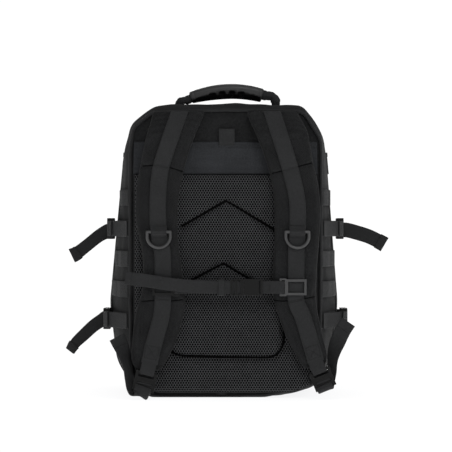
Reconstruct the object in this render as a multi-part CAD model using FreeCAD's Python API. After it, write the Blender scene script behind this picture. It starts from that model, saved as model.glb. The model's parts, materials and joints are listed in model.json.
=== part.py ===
import FreeCAD, Part
import math
import os

# Tactical trauma backpack, in millimetres, +Z up.
# -Y is the wearer's side (back pad and shoulder straps), +Y the front pockets. "Left" is -X and
# "right" is +X, as seen when looking at the back pad.
# From -Y to +Y: a deep rear half, a front half hinged to it at the base seam, an organiser door
# and two pocket covers. Soft goods are plain closed solids.
# Shapes are drawn with y = 0 near the main zip; save() moves them so that the origin lies on the
# floor under the middle of the rear half's base.

V = FreeCAD.Vector
os.makedirs("parts", exist_ok=True)

# ---- driving dimensions ----
ORIGIN_SHIFT_Y = 55.0
Y_BACK = -100.0        # sewn perimeter of the back panel
Y_BULGE = -80.0        # where the rear gusset has swelled out
Y_REAR_END = -10.0     # front edge of the rear half
Y_ZIP = -7.0           # main zip plane
Y_FRONT_START = -4.0   # rear edge of the front half
Y_FRONT_END = 50.0     # outer face of the front half
Y_ORG_ZIP = 53.0       # organiser zip plane
Y_DOOR_START = 54.0
Y_DOOR_END = 96.0      # outer face of the organiser door
Y_POCKET_ZIP = 100.2
Y_POCKET_START = 101.1
WALL = 3.0             # padded fabric wall
OVERSHOOT = 4.0        # how far a cavity's cutter runs out of the open side
ZIP_GAP = 0.05         # between a zip chain and the panel it is sewn to
ZIP_Z_LOW = 60.0       # bottom ends of the zip chains
WEB = 25.0             # main webbing width
WEB_T = 1.6            # main webbing thickness
MOLLE_Z = (307.0, 259.0, 212.5, 165.5, 117.0)   # centres of the side webbing rows
# compression strap level: (height, distance of the buckle's centre line from x = 0)
COMPRESSION = {"upper": (259.0, 181.0), "lower": (117.0, 187.0)}
STERNUM_Z = 170.0
STERNUM_WEB = 20.0
D_RING_Z = 254.0
D_RING_WIRE_R = 2.3
PIVOT_CLEAR = 0.35

# Half outlines, (x, z) from the base corner round the right side to the top centre.
BACK_HALF = [(108, 0), (134, 12), (144, 42), (146, 140), (146, 380), (141, 412), (114, 438), (0, 440)]
BULGE_HALF = [(110, 0), (140, 12), (151, 44), (156, 140), (151, 384), (147, 419), (118, 449), (0, 453)]
ZIP_HALF = [(116, 0), (148, 14), (167, 50), (178, 140), (156, 385), (148, 415), (120, 445), (0, 449)]
FRONT_HALF = [(112, 0), (144, 14), (163, 50), (173, 140), (152, 385), (144, 413), (116, 442), (0, 446)]
DOOR_HALF = [(104, 3), (132, 16), (150, 52), (158, 140), (142, 378), (134, 404), (106, 430), (0, 433)]
SECTIONS = [
    (Y_BACK, BACK_HALF), (Y_BULGE, BULGE_HALF), (Y_REAR_END, ZIP_HALF), (Y_FRONT_START, ZIP_HALF),
    (Y_FRONT_END, FRONT_HALF), (Y_DOOR_START, FRONT_HALF), (Y_DOOR_END, DOOR_HALF),
]
REAR_STATIONS = (Y_BACK, Y_BULGE, Y_REAR_END)


# ---- helpers ----
def save(name, shape):
    """Writes a shape, or a list of shapes as one compound, in the product's frame."""
    if isinstance(shape, (list, tuple)):
        shape = Part.makeCompound(list(shape))
    for solid in shape.Solids:
        if not solid.isValid() or solid.Volume <= 0:
            raise RuntimeError(name + " has a bad solid")
    moved(shape, 0, ORIGIN_SHIFT_Y, 0).exportStep(os.path.join("parts", name + ".step"))


def moved(shape, x, y, z):
    result = shape.copy()
    result.translate(V(x, y, z))
    return result


def mirror(shape):
    return shape.mirror(V(0, 0, 0), V(1, 0, 0))


def both_sides(shapes):
    return shapes + [mirror(shape) for shape in shapes]


def unit(vector):
    return vector * (1.0 / vector.Length)


def full(half):
    """Whole outline from a right-hand half."""
    return list(half) + [(-x, z) for x, z in reversed(half) if x > 0]


def half_at(y):
    """The pack's half outline at y."""
    for (y_a, half_a), (y_b, half_b) in zip(SECTIONS, SECTIONS[1:]):
        if y <= y_b:
            t = (y - y_a) / (y_b - y_a)
            return [(a[0] + (b[0] - a[0]) * t, a[1] + (b[1] - a[1]) * t)
                    for a, b in zip(half_a, half_b)]


def side_x(y, z):
    """How far the pack's side is from x = 0."""
    half = half_at(y)
    for a, b in zip(half, half[1:]):
        if a[1] <= z <= b[1] and b[1] > a[1]:
            return a[0] + (b[0] - a[0]) * (z - a[1]) / (b[1] - a[1])


def offset(points, distance):
    """Convex (x, z) outline grown by distance, or shrunk if it is negative."""
    count = len(points)
    area = sum(points[i][0] * points[(i + 1) % count][1] - points[(i + 1) % count][0] * points[i][1]
               for i in range(count))
    sign = 1.0 if area > 0 else -1.0
    normals = []      # outward, for the edge from each point to the next
    for i in range(count):
        dx = points[(i + 1) % count][0] - points[i][0]
        dz = points[(i + 1) % count][1] - points[i][1]
        length = math.hypot(dx, dz)
        normals.append((sign * dz / length, -sign * dx / length))
    result = []
    for i, (x, z) in enumerate(points):
        a, b = normals[i - 1], normals[i]
        k = 1 + a[0] * b[0] + a[1] * b[1]
        result.append((x + distance * (a[0] + b[0]) / k, z + distance * (a[1] + b[1]) / k))
    return result


def closed_wire(points):
    corners = [V(*p) for p in points]
    return Part.makePolygon(corners + [corners[0]])


def wire_xz(points, y):
    return closed_wire([(x, y, z) for x, z in points])


def loft(wires):
    """Ruled solid loft with a positive volume."""
    solid = Part.makeLoft(wires, True, True)
    if solid.Volume < 0:
        solid.reverse()
    return solid


def prism_xz(points, y0, y1):
    return Part.Face(wire_xz(points, y0)).extrude(V(0, y1 - y0, 0))


def prism_yz(points, x0, x1):
    return Part.Face(closed_wire([(x0, y, z) for y, z in points])).extrude(V(x1 - x0, 0, 0))


def prism_xy(points, z0, z1):
    return Part.Face(closed_wire([(x, y, z0) for x, y in points])).extrude(V(0, 0, z1 - z0))


def box(x0, x1, y0, y1, z0, z1):
    """Box between two limits on each axis, in either order."""
    low = V(min(x0, x1), min(y0, y1), min(z0, z1))
    return Part.makeBox(abs(x1 - x0), abs(y1 - y0), abs(z1 - z0), low)


def skin(rings):
    """Closed solid over a row of four-cornered sections, in outward-facing triangles."""
    points = [tuple(p) for ring in rings for p in ring]
    triangles = []
    for i in range(len(rings) - 1):
        for k in range(4):
            m = (k + 1) % 4
            a, b, c, d = 4 * i + k, 4 * i + m, 4 * i + 4 + m, 4 * i + 4 + k
            # side 2 is split the other way, so that both broad faces share a diagonal
            triangles += [(a, b, d), (b, c, d)] if k == 2 else [(a, b, c), (a, c, d)]
    e = 4 * (len(rings) - 1)
    triangles += [(2, 1, 0), (3, 2, 0), (e, e + 1, e + 2), (e, e + 2, e + 3)]
    shape = Part.Shape()
    shape.makeShapeFromMesh((points, triangles), 0.001)
    solid = Part.makeSolid(shape.Shells[0])
    if solid.Volume < 0:
        solid.reverse()
    return solid


def ribbon(stations, width=WEB, thick=WEB_T):
    """A strap through (centre, width direction) stations, its sections square to the path."""
    centres = [V(*centre) for centre, _ in stations]
    rings = []
    last = None
    for i, (_, direction) in enumerate(stations):
        along = unit(centres[min(i + 1, len(centres) - 1)] - centres[max(i - 1, 0)])
        across = V(*direction)
        across = unit(across - along * across.dot(along))
        if last is not None and across.dot(last) < 0:
            across = across * -1.0      # keeps the strap from twisting over
        last = across
        normal = unit(along.cross(across))
        rings.append([centres[i] + across * (a * width / 2) + normal * (n * thick / 2)
                      for a, n in ((-1, -1), (1, -1), (1, 1), (-1, 1))])
    return skin(rings)


def place(shape, origin, x_dir, z_dir):
    """Moves a shape from local axes to origin, local X along x_dir and local Z along z_dir."""
    x, z = unit(V(*x_dir)), unit(V(*z_dir))
    y = z.cross(x)
    result = shape.copy()
    result.Placement = FreeCAD.Placement(FreeCAD.Matrix(
        x.x, y.x, z.x, origin[0],
        x.y, y.y, z.y, origin[1],
        x.z, y.z, z.z, origin[2],
        0, 0, 0, 1))
    return result


# ---- shells and zip chains ----
def tray(outer_ys, inner_ys):
    """Hollow shell that follows the pack's outline; the cavity runs between the inner stations."""
    outer = loft([wire_xz([(x, z if z > 0 else -1.0) for x, z in full(half_at(y))], y)
                  for y in outer_ys])
    outer = outer.cut(box(-300, 300, -130, 230, -5, 0))       # a true flat base
    return outer.cut(loft([wire_xz(offset(full(half_at(y)), -WALL), y) for y in inner_ys]))


def zip_chain(half, y0, y1):
    """Zip round a seam, left out along the base."""
    ring = prism_xz(full(half), y0, y1)
    ring = ring.cut(prism_xz(offset(full(half), -WALL), y0 - 1, y1 + 1))
    return ring.cut(box(-300, 300, y0 - 1, y1 + 1, -5, ZIP_Z_LOW))


save("rear_shell", tray(REAR_STATIONS,
                        (Y_BACK + WALL, Y_BULGE, Y_REAR_END, Y_REAR_END + OVERSHOOT)))
save("front_shell", tray((Y_FRONT_START, Y_FRONT_END),
                         (Y_FRONT_START - OVERSHOOT, Y_FRONT_START, Y_FRONT_END - WALL)))
save("door_shell", tray((Y_DOOR_START, Y_DOOR_END),
                        (Y_DOOR_START - OVERSHOOT, Y_DOOR_START, Y_DOOR_END - WALL)))
save("main_zip_rear", zip_chain(ZIP_HALF, Y_REAR_END + ZIP_GAP, Y_ZIP - 0.9))
save("main_zip_front", zip_chain(ZIP_HALF, Y_ZIP + 0.9, Y_FRONT_START - ZIP_GAP))
save("organizer_zip", zip_chain(FRONT_HALF, Y_FRONT_END + ZIP_GAP, Y_ORG_ZIP - 0.9))

# ---- flat rectangular pieces: x0, x1, y0, y1, z0, z1 ----
PLATES = {
    "pocket_band": (-141, 141, -104.4, -100.3, 342, 392),
    "pull_tab": (-10.6, 14.5, -106.4, -104.7, 388, 412),
    "base_hinge_strip": (-112, 112, -9.85, -4.4, 0.3, 1.3),
    "inner_mesh_pocket": (-125, 125, 43.0, 46.7, 60, 360),
    "organizer_panel": (-120, 120, Y_FRONT_END + 0.4, Y_FRONT_END + 6.0, 60, 330),
    "upper_loop_panel": (-70, 70, 132.3, 134.0, 268, 352),
}
for name, limits in PLATES.items():
    save(name, box(*limits))

# ---- inside the rear half ----
frame_sheet = prism_xz(offset(full(BACK_HALF), -9.0), -96.6, -95.1)
save("frame_sheet", frame_sheet.cut(box(-60, 60, -97, -95, 120, 330)))

SLEEVE = [(-112, 60), (112, 60), (112, 380), (96, 400), (-96, 400), (-112, 380)]   # (x, z)
save("hydration_sleeve", prism_xz(SLEEVE, -94.6, -89.6))

DIVIDER = [(-143, -88), (143, -88), (150, -74), (155, -14), (-155, -14), (-150, -74)]   # (x, y)
DIVIDER_T = 6
save("padded_dividers", [prism_xy(DIVIDER, z, z + DIVIDER_T) for z in (152, 296)])

# ---- back pad, with channels cut into its outer face ----
BACK_PAD = [   # (x, z)
    (-104, 8), (104, 8), (128, 18), (138, 44), (140, 140), (140, 340),
    (-140, 340), (-140, 140), (-138, 44), (-128, 18),
]
Y_PAD_FACE = -114.0
CHANNELS = [   # (x, z) path, width, depth: border, upper chevron, lower chevron
    ([(-88, 334), (-88, 81), (-74, 64), (0, 61.5), (75, 62), (90, 80), (90, 334)], 5.0, 6.0),
    ([(-67, 262.5), (1, 302), (76, 257.5)], 6.0, 5.0),
    ([(-52, 180), (-3, 205.5), (46, 177)], 6.0, 5.0),
]
TAB_RELIEF = [(111, 16), (133, 16), (138.5, 41), (117, 31)]    # (x, z) over an anchor tab


def channel_cuts(path, width, depth):
    """One cutter for each leg, run on half a width past both ends."""
    cuts = []
    for a, b in zip(path, path[1:]):
        start, end = V(a[0], 0, a[1]), V(b[0], 0, b[1])
        along = unit(end - start)
        side = V(-along.z, 0, along.x) * (width / 2)
        start, end = start - along * (width / 2), end + along * (width / 2)
        corners = [start + side, start - side, end - side, end + side]
        cuts.append(prism_xz([(p.x, p.z) for p in corners], Y_PAD_FACE - 0.5, Y_PAD_FACE + depth))
    return cuts


back_pad = prism_xz(BACK_PAD, Y_PAD_FACE, -100.3)
for path, width, depth in CHANNELS:
    for cutter in channel_cuts(path, width, depth):
        back_pad = back_pad.cut(cutter)
for sign in (-1, 1):
    back_pad = back_pad.cut(prism_xz([(sign * x, z) for x, z in TAB_RELIEF], -102.5, -99.0))
save("back_pad", back_pad)

# ---- piping round the back panel's seam ----
piping = prism_xz(offset(full(BACK_HALF), 1.6), -102.9, -100.1)
piping = piping.cut(prism_xz(offset(full(BACK_HALF), -2.2), -104.0, -99.5))
band_gap = prism_xz(offset(full(BACK_HALF), 3.0), -104.5, -99.5)
piping = piping.cut(box(-143, 143, -104.5, -99.5, 345, 389).common(band_gap))
for sign in (-1, 1):          # gap where the adjuster straps come out of the seam
    piping = piping.cut(box(sign * 115, sign * 143, -104.5, -99.0, -2, 16))
save("edge_piping", piping)


# ---- side webbing ----
def side_web(section, z_mid):
    """Webbing on the right side; section(z) gives its (x, y) outline at a height."""
    return loft([closed_wire([(x, y, z) for x, y in section(z)])
                 for z in (z_mid - WEB / 2, z_mid + WEB / 2)])


MOLLE_YS = (-97, -80, -48, -16)
MOLLE_GAP = 0.5        # off the side
MOLLE_T = 1.5


def molle_section(z):
    inner = [(side_x(y, z) + MOLLE_GAP, y) for y in MOLLE_YS]
    return inner + [(x + MOLLE_T, y) for x, y in reversed(inner)]


save("side_molle", both_sides([side_web(molle_section, z) for z in MOLLE_Z]))


def rear_compression_web(z_mid, buckle_x):
    """From the rear seam out to the female buckle, whose centre line is parallel to Y."""
    def section(z):
        seam, bend = side_x(-96, z) + 2.6, side_x(-84, z) + 2.6
        inner, outer = buckle_x - WEB_T / 2, buckle_x + WEB_T / 2
        return [(seam, -96), (bend, -84), (inner, -46), (inner, -37.6),
                (outer, -37.6), (outer, -46.4), (bend + WEB_T, -85), (seam + WEB_T, -96)]
    return side_web(section, z_mid)


save("compression_webbing_rear",
     both_sides([rear_compression_web(z, x) for z, x in COMPRESSION.values()]))


def front_compression_web(z_mid, buckle_x, tail):
    """From over the male buckle down to the side seam, plus the loose tail."""
    def section(z):
        seam = side_x(46.5, z) + 0.6
        inner = buckle_x + 4.7
        outer = inner + WEB_T
        return [(inner, -3.4), (inner, 38.4), (seam, 44.0), (seam, 46.6),
                (seam + WEB_T, 46.6), (seam + 2.2, 44.4), (outer, 39.2), (outer, -3.4)]
    return side_web(section, z_mid).fuse(ribbon(tail))


# (level, side, stations); stations are (centre, width direction), drawn on the right side
COMPRESSION_TAILS = [
    ("upper", "left", [
        ((181.3, 40.8, 256.0), (0.0, 0.06, 1.0)), ((193, 42, 253.5), (0.2, 0.3, 0.9)),
        ((206, 40, 246), (0.35, 0.5, 0.75)), ((224, 38, 231.5), (0.4, 0.55, 0.72)),
        ((240, 36, 219.0), (0.35, 0.5, 0.8)), ((248, 35, 215.0), (0.1, 0.45, 0.9)),
    ]),
    ("upper", "right", [
        ((181.3, 40.4, 257.0), (0.0, 0.1, 1.0)), ((196, 41, 256.5), (0.05, 0.2, 0.97)),
        ((212, 40, 252.5), (0.15, 0.25, 0.95)), ((232, 38, 246.0), (0.2, 0.3, 0.92)),
        ((250, 36, 237.0), (0.25, 0.3, 0.9)), ((257, 35, 233.0), (0.1, 0.25, 0.96)),
    ]),
    ("lower", "left", [
        ((187.3, 40.8, 115.0), (0.0, 0.06, 1.0)), ((199, 42, 111.0), (0.2, 0.3, 0.9)),
        ((214, 40, 101), (0.4, 0.55, 0.72)), ((229, 38, 87.0), (0.5, 0.6, 0.6)),
        ((243, 36, 73.0), (0.5, 0.7, 0.5)), ((251, 35, 61.0), (0.4, 0.8, 0.4)),
    ]),
    ("lower", "right", [
        ((186.0, 40.6, 117.0), (0.0, 0.1, 1.0)), ((190.5, 50, 115.5), (0.0, 0.15, 1.0)),
        ((186, 64, 111), (0.0, 0.25, 0.97)), ((180.5, 80, 103.0), (0.05, 0.35, 0.93)),
        ((174.5, 95, 92.0), (0.1, 0.4, 0.9)),
    ]),
]
front_webs = []
for level, side, tail in COMPRESSION_TAILS:
    web = front_compression_web(*COMPRESSION[level], tail)
    front_webs.append(mirror(web) if side == "left" else web)
save("compression_webbing_front", front_webs)


# ---- compression buckles, drawn about x = 0, z = 0 ----
def compression_female():
    """Side-release receiver, mouth at +Y."""
    body = box(-5.2, 5.2, -37.0, -7.0, -16.5, 16.5)
    for sign in (-1, 1):      # bevelled rear corners
        corner = [(-38, sign * 16.6), (-33, sign * 16.6), (-38, sign * 12.5)]
        body = body.cut(prism_yz(corner, -6, 6))
    body = body.cut(box(-3.4, 3.4, -31.0, -6.0, -13.0, 13.0))           # mouth
    body = body.cut(box(-3.0, 3.0, -25.0, -13.0, -18.0, 18.0))          # release windows
    return body.cut(box(-6.0, 6.0, -35.4, -32.6, -11.0, 11.0))          # webbing slot


def compression_male():
    """Hollow body with two webbing slots, and prongs towards -Y."""
    body = box(-4.4, 4.4, -6.6, 15.0, -16.0, 16.0)
    body = body.cut(box(-2.4, 2.4, -4.0, 16.0, -13.2, 13.2))
    for y0, y1 in ((-1.0, 4.0), (8.0, 11.5)):                           # webbing slots
        body = body.cut(box(2.0, 5.0, y0, y1, -13.2, 13.2))
    for sign in (-1, 1):                                                # prongs
        body = body.fuse(box(-2.5, 2.5, -28.0, -5.0, sign * 6.6, sign * 10.4))
    body = body.fuse(box(-2.0, 2.0, -26.0, -5.0, -1.6, 1.6))            # middle tongue
    return body.removeSplitter()


save("compression_females",
     both_sides([moved(compression_female(), x, 0, z) for z, x in COMPRESSION.values()]))
for level, (z, x) in COMPRESSION.items():
    male = moved(compression_male(), x, 0, z)
    save("compression_male_" + level + "_right", male)
    save("compression_male_" + level + "_left", mirror(male))

# ---- pockets on the door: (x, z) outlines ----
UPPER_POCKET = [(-98, 240), (98, 240), (98, 372), (80, 392), (-80, 392), (-98, 372)]
LOWER_POCKET = [(-118, 26), (118, 26), (118, 180), (98, 200), (-98, 200), (-118, 180)]
POCKET_WALL = 2.5
POCKET_EDGE = 9.0      # depth of the tapered front edge


def pocket_zip(outline):
    """Ring round the pocket, left out along its bottom."""
    y0, y1 = Y_DOOR_END + ZIP_GAP, Y_POCKET_ZIP - 0.9
    z_bottom = outline[0][1]
    ring = prism_xz(outline, y0, y1)
    ring = ring.cut(prism_xz(offset(outline, -POCKET_WALL), y0 - 1, y1 + 1))
    return ring.cut(box(-300, 300, y0 - 1, y1 + 1, z_bottom - 1, z_bottom + 14))


def pocket_cover(outline, y_front, taper):
    """Hollow cover, open towards the door."""
    y_edge = y_front - POCKET_EDGE
    lining = offset(outline, -POCKET_WALL)
    outer = loft([wire_xz(outline, Y_POCKET_START), wire_xz(outline, y_edge),
                  wire_xz(offset(outline, -taper), y_front)])
    inner = loft([wire_xz(lining, Y_POCKET_START - 3), wire_xz(lining, y_edge),
                  wire_xz(offset(outline, -taper - POCKET_WALL + 1), y_front - POCKET_WALL)])
    return outer.cut(inner)


save("pocket_zips", [pocket_zip(UPPER_POCKET), pocket_zip(LOWER_POCKET)])
save("upper_pocket_cover", pocket_cover(UPPER_POCKET, y_front=132.0, taper=7.0))
save("lower_pocket_cover", pocket_cover(LOWER_POCKET, y_front=140.0, taper=8.0))
save("lower_pocket_molle", [box(-105, 105, 140.3, 141.9, z, z + WEB) for z in (52, 99, 146)])

# ---- carry handle: a grip threaded on webbing that arches over the top ----
HANDLE_Y = -50.0
HANDLE_MID_X = 2.0
GRIP_HALF_LENGTH = 56.0
GRIP_HALF_WIDTH = 12.0
GRIP_SIDES = 16
GRIP_SQUARENESS = 0.72    # exponent; 1 would give an ellipse
CORNERS = ((-1, -1), (1, -1), (1, 1), (-1, 1))


def handle_z(x):
    """Height of the handle's centre line: an arc that leans up to the right."""
    u = (x - HANDLE_MID_X) / GRIP_HALF_LENGTH
    return 475.0 - 8.0 * u * u + 2.6 * u


def handle_frame(x):
    """Centre of the handle at x, the normal to its arc, and the place u along it."""
    u = (x - HANDLE_MID_X) / GRIP_HALF_LENGTH
    along = unit(V(1, 0, (-16.0 * u + 2.6) / GRIP_HALF_LENGTH))
    return V(x, HANDLE_Y, handle_z(x)), V(-along.z, 0, along.x), u


def rounded(value):
    return math.copysign(abs(value) ** GRIP_SQUARENESS, value)


def grip_section(x):
    centre, normal, u = handle_frame(x)
    half_height = 10.6 - 2.0 * u * u
    points = []
    for k in range(GRIP_SIDES):
        angle = 2 * math.pi * k / GRIP_SIDES
        points.append(centre + V(0, GRIP_HALF_WIDTH * rounded(math.cos(angle)), 0)
                      + normal * (half_height * rounded(math.sin(angle))))
    return closed_wire(points)


def slot_section(x):
    centre, normal, _ = handle_frame(x)
    return closed_wire([centre + V(0, a * 10.3, 0) + normal * (n * 1.5) for a, n in CORNERS])


grip = loft([grip_section(-54 + 112 * i / 8.0) for i in range(9)])
slot = loft([slot_section(-57 + 118 * i / 8.0) for i in range(9)])
save("handle_grip", grip.cut(slot))

# (x, z) centre line of the webbing, from the left foot to the right one
handle_line = [(-71.5, 458.4), (-71.5, 464.0), (-67, 468.0), (-61, handle_z(-61) + 0.4)]
handle_line += [(x, handle_z(x)) for x in range(-54, 59, 14)]
handle_line += [(64, handle_z(64) + 0.6), (72, 469.5), (77.2, 465.5), (77.5, 458.4)]
save("handle_webbing",
     ribbon([((x, HANDLE_Y, z), (0, 1, 0)) for x, z in handle_line], width=19.0, thick=2.0))

# the feet are cut to sit just clear of the pack's top
pack_top = loft([wire_xz(full(half_at(y)), y) for y in REAR_STATIONS])
pack_top.translate(V(0, 0, 0.3))
save("handle_feet", [box(x0, x1, HANDLE_Y - 9.5, HANDLE_Y + 9.5, 440, 462).cut(pack_top)
                     for x0, x1 in ((-81.5, -73.2), (79.2, 87.5))])

# ---- shoulder straps ----
# (x, z) from the top down: edge nearest the middle, then outer edge
PAD_EDGES = {
    "left": (
        [(-31, 436), (-40.5, 414.5), (-51.5, 383.7), (-60.3, 348.5), (-67.8, 308.9),
         (-70.4, 264.9), (-66.9, 225.3), (-62.5, 185.7), (-58.5, 150.5), (-62.5, 124.1),
         (-71.3, 93.3), (-84.5, 62.5), (-99.9, 40.0)],
        [(-112, 436), (-124.1, 392.5), (-130.7, 357.3), (-137.3, 322.1), (-139.5, 286.9),
         (-137.3, 260.5), (-130.7, 225.3), (-127.6, 198.9), (-127.2, 160.0), (-129.4, 110.4),
         (-136, 81.4), (-143.4, 58.1), (-136, 42.0)],
    ),
    "right": (
        [(32, 436), (43.1, 410.1), (54.1, 379.3), (62.9, 348.5), (69.5, 317.7),
         (71.7, 278.1), (71.7, 234.1), (69.5, 190.1), (70.8, 154.9), (78.3, 128.5),
         (89.3, 97.7), (104.7, 66.9), (121.0, 42.0)],
        [(112, 436), (126.7, 410.1), (135.5, 361.7), (144.3, 322.1), (147.8, 282.5),
         (145.2, 234.1), (142.1, 190.1), (140.8, 159.3), (143.4, 132.9), (148.7, 102.1),
         (153.0, 80.0), (157.0, 62.0), (152.0, 50.0)],
    ),
}
# (y, z) of the face next to the back pad, and of the outer face
PAD_BACK = [(-104.2, 437), (-104.6, 429), (-111, 417), (-118, 400), (-118, 36)]
PAD_OUTER = [(-116.0, 437), (-120, 428), (-127, 412), (-131, 396), (-131, 36)]
# (x, z) centre line of the webbing along each pad, from the top down
WEB_PATHS = {
    "left": [(-70.4, 436), (-92.4, 370.5), (-99.4, 344.1), (-102.5, 308.9), (-102.3, 268),
             (-99.5, 240), (-95.0, 229), (-95.0, 150), (-97.7, 124.1), (-109.6, 80.1),
             (-115.5, 54.0)],
    "right": [(71.7, 436), (92.4, 370.5), (99.9, 344.1), (108.7, 304.5), (110.0, 268),
              (108.5, 240), (107.5, 229), (107.5, 150), (117.9, 124.1), (131.0, 80.1),
              (137.5, 57.0)],
}
WEB_GAP = 2.4          # between pad and webbing
D_RING_X = {"left": -101.0, "right": 109.3}
D_RING_Y = -138.4
SLIDER_X = {"left": -95.0, "right": 107.5}      # sternum sliders
# ladder lock: x, z and lean in degrees
LOCKS = {"left": (-121.9, 27.0, 13.0), "right": (147.8, 30.5, -22.0)}
LOCK_Y = -130.0
LOCK_BAR_R = 2.0
LOCK_BAR_Y = -3.6      # top bar, in the lock's own axes
LOCK_BAR_Z = 13.0


def lock_axes(side):
    """Centre of the lock, the direction to the right across the strap, and the one up it."""
    x, z, lean = LOCKS[side]
    angle = math.radians(lean)
    return (V(x, LOCK_Y, z), V(math.cos(angle), 0, -math.sin(angle)),
            V(math.sin(angle), 0, math.cos(angle)))


def lock_bar_centre(side):
    origin, _, up = lock_axes(side)
    return origin + up * LOCK_BAR_Z + V(0, LOCK_BAR_Y, 0)


def bar(centre, across, half_length, radius):
    return Part.makeCylinder(radius, half_length * 2, centre - across * half_length, across)


def side_step(path, distance):
    """Open (x, z) path moved sideways by distance."""
    result = []
    for i, (x, z) in enumerate(path):
        a, b = path[max(i - 1, 0)], path[min(i + 1, len(path) - 1)]
        dx, dz = b[0] - a[0], b[1] - a[1]
        length = math.hypot(dx, dz)
        result.append((x - dz / length * distance, z + dx / length * distance))
    return result


def shoulder_pad(side):
    inner, outer = PAD_EDGES[side]
    pad = prism_xz(inner + list(reversed(outer)), -150.0, -90.0)
    pad = pad.common(prism_yz(PAD_BACK + list(reversed(PAD_OUTER)), -200, 200))
    _, across, _ = lock_axes(side)
    return pad.cut(bar(lock_bar_centre(side), across, 12.0, 4.3))    # room for the lock's loop


def strap_webbing(side):
    """Webbing on the pad, with a loop for the D-ring and one for the ladder lock."""
    path = WEB_PATHS[side]
    outline = side_step(path, WEB / 2) + list(reversed(side_step(path, -WEB / 2)))
    back = [(y - WEB_GAP, z) for y, z in PAD_OUTER]
    outer = [(y - WEB_GAP - WEB_T, z) for y, z in PAD_OUTER]
    web = prism_xz(outline, -160.0, -100.0)
    web = web.common(prism_yz(back + list(reversed(outer)), -200, 200))

    ring_x = D_RING_X[side]
    centre = V(ring_x, D_RING_Y, D_RING_Z)
    hole = bar(centre, V(1, 0, 0), 13.0, D_RING_WIRE_R + PIVOT_CLEAR)
    web = web.fuse(bar(centre, V(1, 0, 0), 12.0, 4.4))
    foot = box(ring_x - 12, ring_x + 12, -137.0, -134.2, D_RING_Z - 6, D_RING_Z + 6)
    web = web.fuse(foot).cut(hole)

    _, across, up = lock_axes(side)
    centre = lock_bar_centre(side)
    hole = bar(centre, across, 12.0, LOCK_BAR_R + PIVOT_CLEAR)
    neck = place(box(-11.0, 11.0, -1.6, 0.0, 0, 24), (centre.x, -133.4, centre.z), across, up)
    web = web.fuse(neck.cut(hole)).fuse(bar(centre, across, 11.0, 3.9))
    return web.cut(hole)


def d_ring():
    """Drawn about the middle of its straight bar, bow hanging down."""
    radius, half, z_bend = D_RING_WIRE_R, 17.5, -8.0
    path = Part.Wire([
        Part.makeLine(V(-half, 0, 0), V(-half, 0, z_bend)),
        Part.Arc(V(-half, 0, z_bend), V(0, 0, -24.0), V(half, 0, z_bend)).toShape(),
        Part.makeLine(V(half, 0, z_bend), V(half, 0, 0)),
    ])
    profile = Part.Wire([Part.makeCircle(radius, V(-half, 0, 0), V(0, 0, -1))])
    ring = path.makePipeShell([profile], True, False)
    ring = ring.fuse(bar(V(0, 0, 0), V(1, 0, 0), half, radius))
    for sign in (-1, 1):
        ring = ring.fuse(Part.makeSphere(radius, V(sign * half, 0, 0)))
    return ring


def ladder_lock():
    """Local X across the strap, local Z up it."""
    lock = box(-16.5, -12.6, -5.6, -1.4, -15.0, 14.2)                   # side rails
    lock = lock.fuse(box(12.6, 16.5, -5.6, -1.4, -15.0, 14.2))
    lock = lock.fuse(bar(V(0, LOCK_BAR_Y, LOCK_BAR_Z), V(1, 0, 0), 15, LOCK_BAR_R))
    lock = lock.fuse(box(-13, 13, -5.6, -3.4, -1.5, 5.5))               # flat bars
    lock = lock.fuse(box(-13, 13, -5.6, -3.4, -13.5, -6.5))
    lock = lock.fuse(box(-13, 13, -2.9, -1.4, -5.2, -2.4))
    return lock.removeSplitter()


for side in ("left", "right"):
    save("shoulder_pad_" + side, shoulder_pad(side))
    save("strap_webbing_" + side, strap_webbing(side))
    save("d_ring_" + side, moved(d_ring(), D_RING_X[side], D_RING_Y, D_RING_Z))
    save("ladder_lock_" + side, place(ladder_lock(), *lock_axes(side)))

# ---- adjuster straps: (centre, width direction) stations ----
# from the bottom corner seams towards the locks
ACROSS_LEFT, ACROSS_RIGHT = (0.907, 0, -0.42), (0.907, 0, 0.42)
LOWER_LEFT = [
    ((-128.5, -88, 6.7), ACROSS_LEFT), ((-128.5, -102, 6.7), ACROSS_LEFT),
    ((-127.2, -111, 7.4), ACROSS_LEFT), ((-126.3, -118.5, 8.2), (0.974, 0, -0.225)),
    ((-125.6, -124.5, 10.9), (0.974, 0, -0.225)),
]
LOWER_RIGHT = [
    ((128.5, -88, 6.7), ACROSS_RIGHT), ((128.5, -101, 6.7), ACROSS_RIGHT),
    ((129.9, -106.5, 6.9), ACROSS_RIGHT), ((134.3, -111.5, 7.8), ACROSS_RIGHT),
    ((147.5, -121.5, 12.0), ACROSS_RIGHT),
]
save("lower_webbing", [ribbon(LOWER_LEFT), ribbon(LOWER_RIGHT)])
ANCHOR_TAB = [(112, 17), (132, 17), (137, 40), (118, 30)]    # (x, z)
save("lower_anchor_tabs", both_sides([prism_xz(ANCHOR_TAB, -102.2, -100.3)]))

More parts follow.
